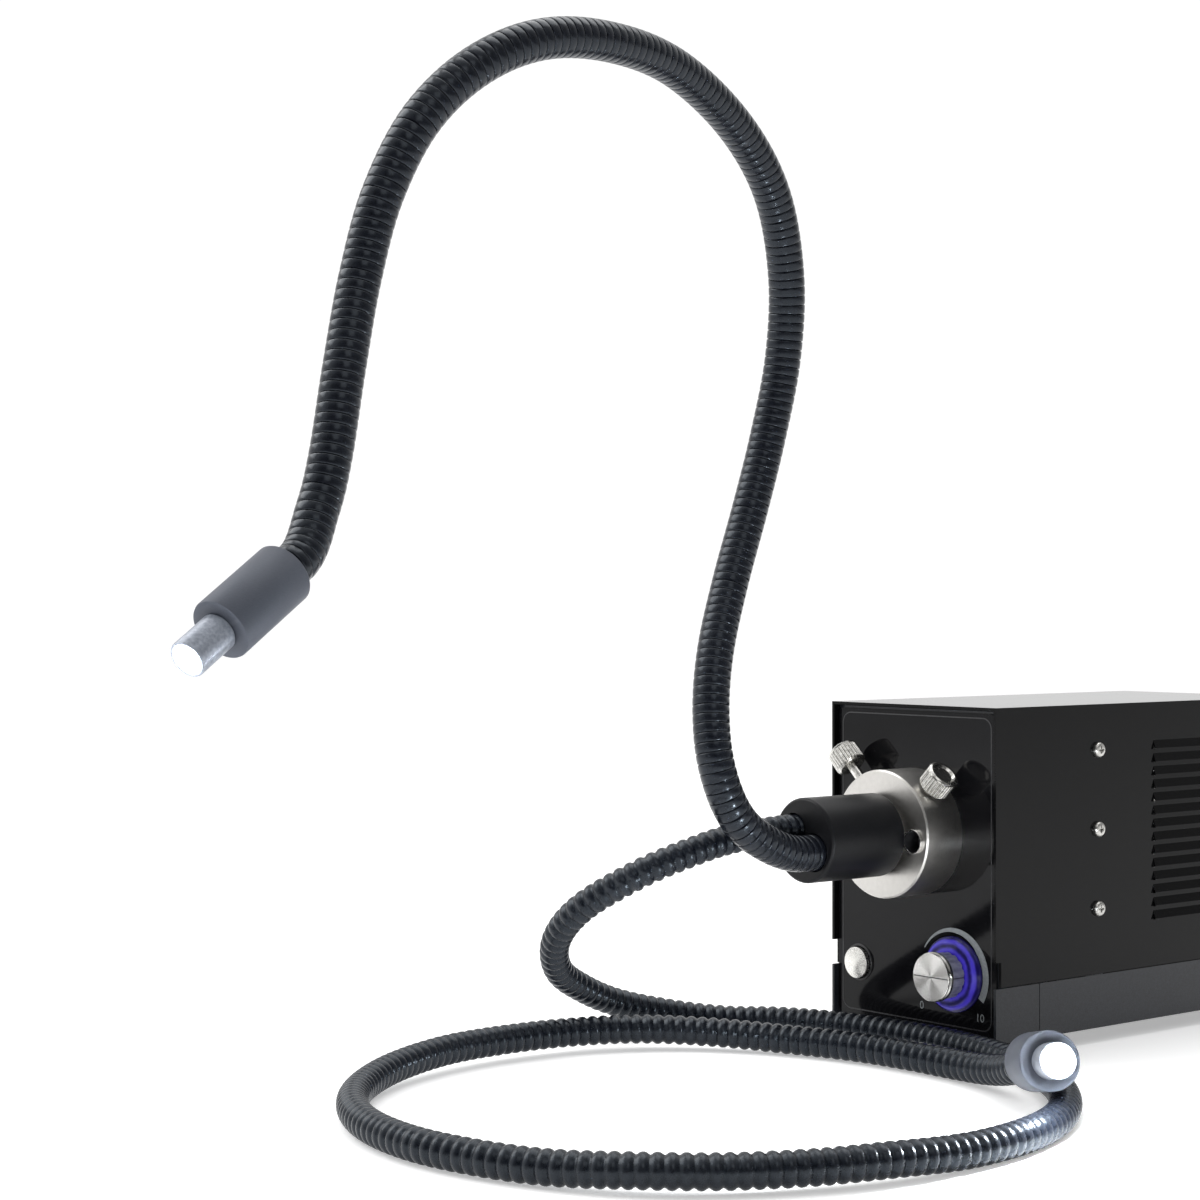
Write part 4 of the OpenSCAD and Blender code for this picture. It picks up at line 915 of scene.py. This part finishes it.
    def button_well(self) -> None:
        """Makes the dark ring in which the button moves."""
        outer, inner = self.well_outer, self.well_inner
        profile = [(inner, -0.0001), (outer, -0.0001), (outer, 0.0003), (outer - 0.0002, 0.0005),
                   (inner + 0.0001, 0.0005), (inner, 0.0004), (inner, -0.0001)]
        well = lathe("button_bezel", profile, (self.button_x, Y_OVERLAY, self.button_z),
                     FRONTWARD, BLACK_PLASTIC)
        self.own(well, "housing", "black_plastic")


@dataclass
class Internals(Assembly):
    """What the housing holds, and the rear's inlet and fan."""

    DRESS: ClassVar[Dress] = {
        "power_inlet": (BLACK_PLASTIC, 0.0003), "inlet_pins": (BRASS, 0.0002),
        "inlet_screws": (ZINC, 0.0001), "fan_frame": (BLACK_PLASTIC, 0.0003),
        "fan_guard": (ZINC, 0.0), "fan_screws": (ZINC, 0.0001),
        "fan_rotor": (BLACK_PLASTIC, 0.0002), "bulkhead": (SHEET, 0.0002),
        "heat_sink": (SINK, 0.0001), "bulkhead_screws": (ZINC, 0.0001),
        "led_board": (WHITE_BOARD, 0.0001), "led_emitter": (PHOSPHOR, 0.0001),
        "lens_holder": (SHELL, 0.0002), "condenser_lens": (GLASS, 0.0),
        "control_board": (BOARD, 0.0001), "power_board": (BOARD, 0.0001),
        "power_components": (PARTS, 0.0004), "board_standoffs": (BRASS, 0.0001),
        "board_screws": (ZINC, 0.0001),
    }


@dataclass(frozen=True)
class Branch:
    """One branch of the light guide: its hose, and where its head is and looks."""

    name: str
    body: str
    radius: float
    leaves_at: Point
    straight: float
    head_at: Point
    pitch: float
    yaw: float
    spill: float
    seat_gap: float = 0.0003

    @property
    def axis(self) -> np.ndarray:
        """The direction that the head looks in."""
        return aim(self.pitch, self.yaw)

    def route(self, between: Sequence[np.ndarray]) -> Route:
        """Lays the hose from inside the shell to inside its head.

        Args:
            between: points of the curve between its two straight ends.

        Returns:
            The hose's curve.
        """
        root, end, axis = np.array(self.leaves_at), np.array(self.head_at), self.axis
        return Route([root + (0, HOSE_SEAT, 0), root + (0, HOSE_SEAT - self.straight, 0), *between,
                      end + (HOSE_SEAT - self.straight) * axis,
                      end + (HOSE_SEAT - self.seat_gap) * axis],
                     np.array([0, -1.0, 0]), axis)


GOOSENECK = Branch("gooseneck", "gooseneck_drop", 0.00685, tuple(SHELL_FRONT + SPLIT), 0.014,
                   (0.038, -0.406, 0.183), 32, 15, spill=0.04)
LOOSE_GUIDE = Branch("flexible", "light_guide", 0.00565, tuple(SHELL_FRONT - SPLIT), 0.0115,
                     (0.120, -0.160, 0.0185), -11, 50, spill=0.5)


@dataclass
class LightGuide(Assembly):
    """Connector, gooseneck and loose guide, each branch with its head."""

    band_pitch: float = 0.0034
    band_edge: float = 0.00055
    bend_reach: float = 0.048
    bends_near: tuple[Point, ...] = ((0.0, -0.199, 0.135), (0.022, -0.235, 0.361),
                                     (0.025, -0.361, 0.304))
    rib_pitch: float = 0.0043
    rib_deep: float = 0.0009
    head_r: float = 0.010
    head_len: float = 0.032
    tip_r: float = 0.006
    tip_len: float = 0.016
    spigot_r: float = 0.005
    core_r: float = 0.0033

    DRESS: ClassVar[Dress] = {
        "connector_shell": (SHELL, 0.0004), "connector_barrel": (BARREL, 0.0003),
        "fiber_bundle": (FIBER, 0.0),
    }

    def add_pieces(self) -> None:
        """Makes both hoses and heads."""
        self.gooseneck(GOOSENECK)
        self.loose_guide(LOOSE_GUIDE)

    def gooseneck(self, branch: Branch) -> None:
        """Makes the banded gooseneck, in pieces that each span one joint, and its head.

        Args:
            branch: the gooseneck.
        """
        route = branch.route([SHELL_FRONT + np.array(q) / 1000 for q in NECK_ROUTE_MM])
        pivots = [route.nearest(p) for p in self.bends_near]
        pitch, r = self.band_pitch, branch.radius
        cuts = [0.0] + [pitch * round((a + b) / 2 / pitch) for a, b in zip(pivots, pivots[1:])]
        cuts.append(route.length)
        profile = [(0.0, r - self.band_edge), (0.06, r - 0.0001), (0.16, r), (0.5, r + 0.00002),
                   (0.84, r), (0.94, r - 0.0001)]
        stands_for = (("gooseneck_root", "root_fiber"), ("gooseneck_rise", "rise_fiber"),
                      ("gooseneck_arch", "arch_fiber", "gooseneck_drop"))
        for k, pivot in enumerate(pivots):
            piece, _ = hose(f"gooseneck_bands_{k + 1}", route, (cuts[k], cuts[k + 1]), pitch,
                            profile, (1, 0, 0), NECK)
            where, half = route.at(pivot), self.bend_reach * route.heading(pivot)
            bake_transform(piece)
            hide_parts(*stands_for[k])
        self.head(branch)

    def loose_guide(self, branch: Branch) -> None:
        """Makes the ribbed hose that lies on the bench, and its head.

        Args:
            branch: the loose guide.
        """
        lay = [np.array([x, y + 1000 * Y_SHELL, z + GUIDE_REST_MM]) / 1000
               for x, y, z in GUIDE_LAY_MM]
        route = branch.route([*(SHELL_FRONT + np.array(q) / 1000 for q in GUIDE_DROP_MM), *lay])
        r = branch.radius
        profile = [(0.0, r - self.rib_deep), (0.14, r - 0.0006), (0.26, r - 0.0002), (0.42, r),
                   (0.58, r), (0.74, r - 0.0002), (0.86, r - 0.0006)]
        piece, centres = hose("loose_guide_ribs", route, (0.0, route.length), self.rib_pitch,
                              profile, (0, 0, 1), GUIDE, 28)
        self.own(piece, branch.body, "guide_black", "flexible_hose")
        self.head(branch)

    def head(self, branch: Branch) -> list[bpy.types.Object]:
        """Makes a light head, its tip and the lit end of the fibre.

        Args:
            branch: the branch that it ends.

        Returns:
            The three pieces.
        """
        r, n, core, spigot = self.head_r, self.head_len, self.core_r, self.spigot_r
        tip_r, top = self.tip_r, self.head_len + self.tip_len
        socket, loose = branch.radius + branch.seat_gap, self.spigot_r + 0.00005
        profiles = {
            "head_sleeve": (HEAD, 128, [
                (core, 0.0081), (socket, 0.0081), (socket, 0.0003), (socket + 0.0003, 0),
                (r - 0.0007, 0), (r - 0.0003, 0.0002), (r, 0.0007), (r, n - 0.0007),
                (r - 0.0002, n - 0.0002), (r - 0.0007, n), (spigot + 0.0003, n),
                (loose, n - 0.0003), (loose, n - 0.0079), (core, n - 0.0079), (core, 0.0081)]),
            "tip_sleeve": (TIP_WITH_PAINTED_GLARE, 128, [
                (core, n - 0.0078), (spigot, n - 0.0078), (spigot, n + 0.0006),
                (tip_r - 0.0002, n + 0.0006), (tip_r, n + 0.0008), (tip_r, top - 0.0005),
                (tip_r - 0.0002, top - 0.0001), (tip_r - 0.0005, top),
                (tip_r - 0.0008, top - 0.0001), (tip_r - 0.0009, top - 0.0004),
                (tip_r - 0.0009, top - 0.002), (core, top - 0.002), (core, n - 0.0078)]),
            "fiber_end": (LENS, 96, [
                (0, top - 0.002), (tip_r - 0.001, top - 0.002), (tip_r - 0.001, top - 0.0005),
                (0.003, top - 0.0003), (0, top - 0.0002)]),
        }
        places = {"head_sleeve": ("head_grey", "head"), "tip_sleeve": ("tip_steel", "tip"),
                  "fiber_end": ("lens_white", "lens")}
        pieces = []
        for part, (finish, sides, profile) in profiles.items():
            piece = lathe(f"{branch.name}_{part}", profile, branch.head_at, branch.axis, finish,
                          sides)
            slot, node = places[part]
            self.own(piece, branch.body, slot, f"{branch.name}_{node}")
            pieces.append(piece)
        self.beam(branch, np.array(branch.head_at) + (top + 0.001) * branch.axis)
        return pieces

    @staticmethod
    def beam(branch: Branch, at: np.ndarray) -> None:
        """Adds the light that leaves a tip: a wide beam, and stray light in front of it.

        Args:
            branch: the branch that it leaves.
            at: where it leaves.
        """
        beam = bpy.data.lights.new(f"{branch.name}_beam", "SPOT")
        beam.energy, beam.spot_size, beam.spot_blend = 0.6, math.radians(70), 0.9
        stray = bpy.data.lights.new(f"{branch.name}_stray", "POINT")
        stray.energy = branch.spill
        for data, ahead in ((beam, 0.0), (stray, 0.014)):
            data.shadow_soft_size, data.color = 0.005, (0.88, 0.94, 1.0)
            lamp = bpy.data.objects.new(data.name, data)
            lamp.location = tuple(at + ahead * branch.axis)
            lamp.rotation_euler = Vector(branch.axis).to_track_quat("-Z", "Y").to_euler()
            bpy.context.scene.collection.objects.link(lamp)


# ------------ studio


@dataclass
class Studio:
    """Floor, soft lights, pale surroundings and the camera."""

    focal_px: float = 2457.0
    image_px: float = 1200.0
    horizon_px: float = 603.0
    camera_at: Point = (0.670, -0.802, 0.174)
    camera_looks: Point = (-0.773, 0.635, 0)
    sensor_mm: float = 36.0
    floor_half: float = 12.0
    lit_at: Point = (0, -0.1, 0.1)
    backdrop: float = 1.05

    SOFTBOXES: ClassVar[tuple[tuple[str, Point, float, float], ...]] = (
        ("key", (-1.0, -0.9, 1.3), 1.2, 14.0),
        ("fill", (1.3, -0.7, 1.2), 0.8, 2.5),
        ("top", (-0.2, 0.3, 1.8), 1.4, 12.0),
    )
    DIMMING: ClassVar[tuple[tuple[Point, float, float, float], ...]] = (
        ((-1.0, 0.0, 0.25), -0.8, 0.4, 0.18),
        ((-0.645, 0.764, 0.0), -0.95, -0.40, 0.10),
    )

    def build(self) -> None:
        """Makes the whole studio."""
        self.floor()
        self.surroundings()
        for softbox in self.SOFTBOXES:
            self.softbox(*softbox)
        self.camera()
        bpy.context.scene.view_settings.view_transform = "Standard"

    def floor(self) -> None:
        """Makes a plain pale floor."""
        s = self.floor_half
        make_object("studio_floor", np.array([(-s, -s, 0), (s, -s, 0), (s, s, 0),
                                                       (-s, s, 0)]), [(0, 1, 2, 3)], FLOOR)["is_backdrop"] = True

    def surroundings(self) -> None:
        """Makes white surroundings, whose light is full from the left and dim from the right."""
        world = bpy.data.worlds.new("studio")
        bpy.context.scene.world = world
        world.use_nodes = True
        graph = Graph(world.node_tree)
        place = graph.add("TexCoord", "Generated", {})
        shares = []
        for way, low, high, dim in self.DIMMING:
            across = graph.add("VectorMath", "Value", {0: place, 1: way}, operation="DOT_PRODUCT")
            shares.append(graph.add("MapRange", "Result", {
                "Value": across, "From Min": low, "From Max": high, "To Min": dim, "To Max": 1.0,
            }, interpolation_type="SMOOTHSTEP"))
        white = (1.0, 1.0, 1.0, 1.0)
        cast = graph.add("Background", "Background", {
            "Color": white, "Strength": graph.math("MULTIPLY", *shares)})
        seen = world.node_tree.nodes["Background"]
        graph.feed(seen, {"Color": white, "Strength": self.backdrop})
        both = graph.add("MixShader", "Shader", {
            "Fac": graph.add("LightPath", "Is Camera Ray", {}), 1: cast,
            2: seen.outputs["Background"]})
        graph.feed(world.node_tree.nodes["World Output"], {"Surface": both})

    def softbox(self, name: str, at: Point, size: float, power: float) -> None:
        """Adds an area light that looks at the object.

        Args:
            name: its name.
            at: where it stands.
            size: the length of its side.
            power: its watts.
        """
        data = bpy.data.lights.new(f"softbox_{name}", "AREA")
        data.size, data.energy = size, power
        light = bpy.data.objects.new(f"softbox_{name}", data)
        light.location = at
        way = Vector(self.lit_at) - Vector(at)
        light.rotation_euler = way.to_track_quat("-Z", "Y").to_euler()
        bpy.context.scene.collection.objects.link(light)

    def camera(self) -> None:
        """Makes the photograph's camera: level, with its horizon a little below the middle."""
        data = bpy.data.cameras.new("camera")
        data.sensor_width = self.sensor_mm
        data.lens = data.sensor_width * self.focal_px / self.image_px
        data.shift_y = (self.horizon_px - self.image_px / 2) / self.image_px
        camera = bpy.data.objects.new("camera", data)
        camera.location = self.camera_at
        camera.rotation_euler = Vector(self.camera_looks).to_track_quat("-Z", "Y").to_euler()
        bpy.context.scene.collection.objects.link(camera)
        bpy.context.scene.camera = camera


def main() -> None:
    """Builds the studio and every sub-assembly in order, and reports each piece."""
    logging.basicConfig(level=logging.INFO, format="%(name)s: %(message)s")
    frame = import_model()
    Studio().build()
    for part in (Housing, LightPort, Controls, Internals, LightGuide):
        LOG.info("building %s", part.__name__)
        part(frame["nodes"]).build()
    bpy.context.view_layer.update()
    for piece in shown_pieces():
        LOG.info("piece %s", piece.name)


if __name__ == "__main__":
    main()
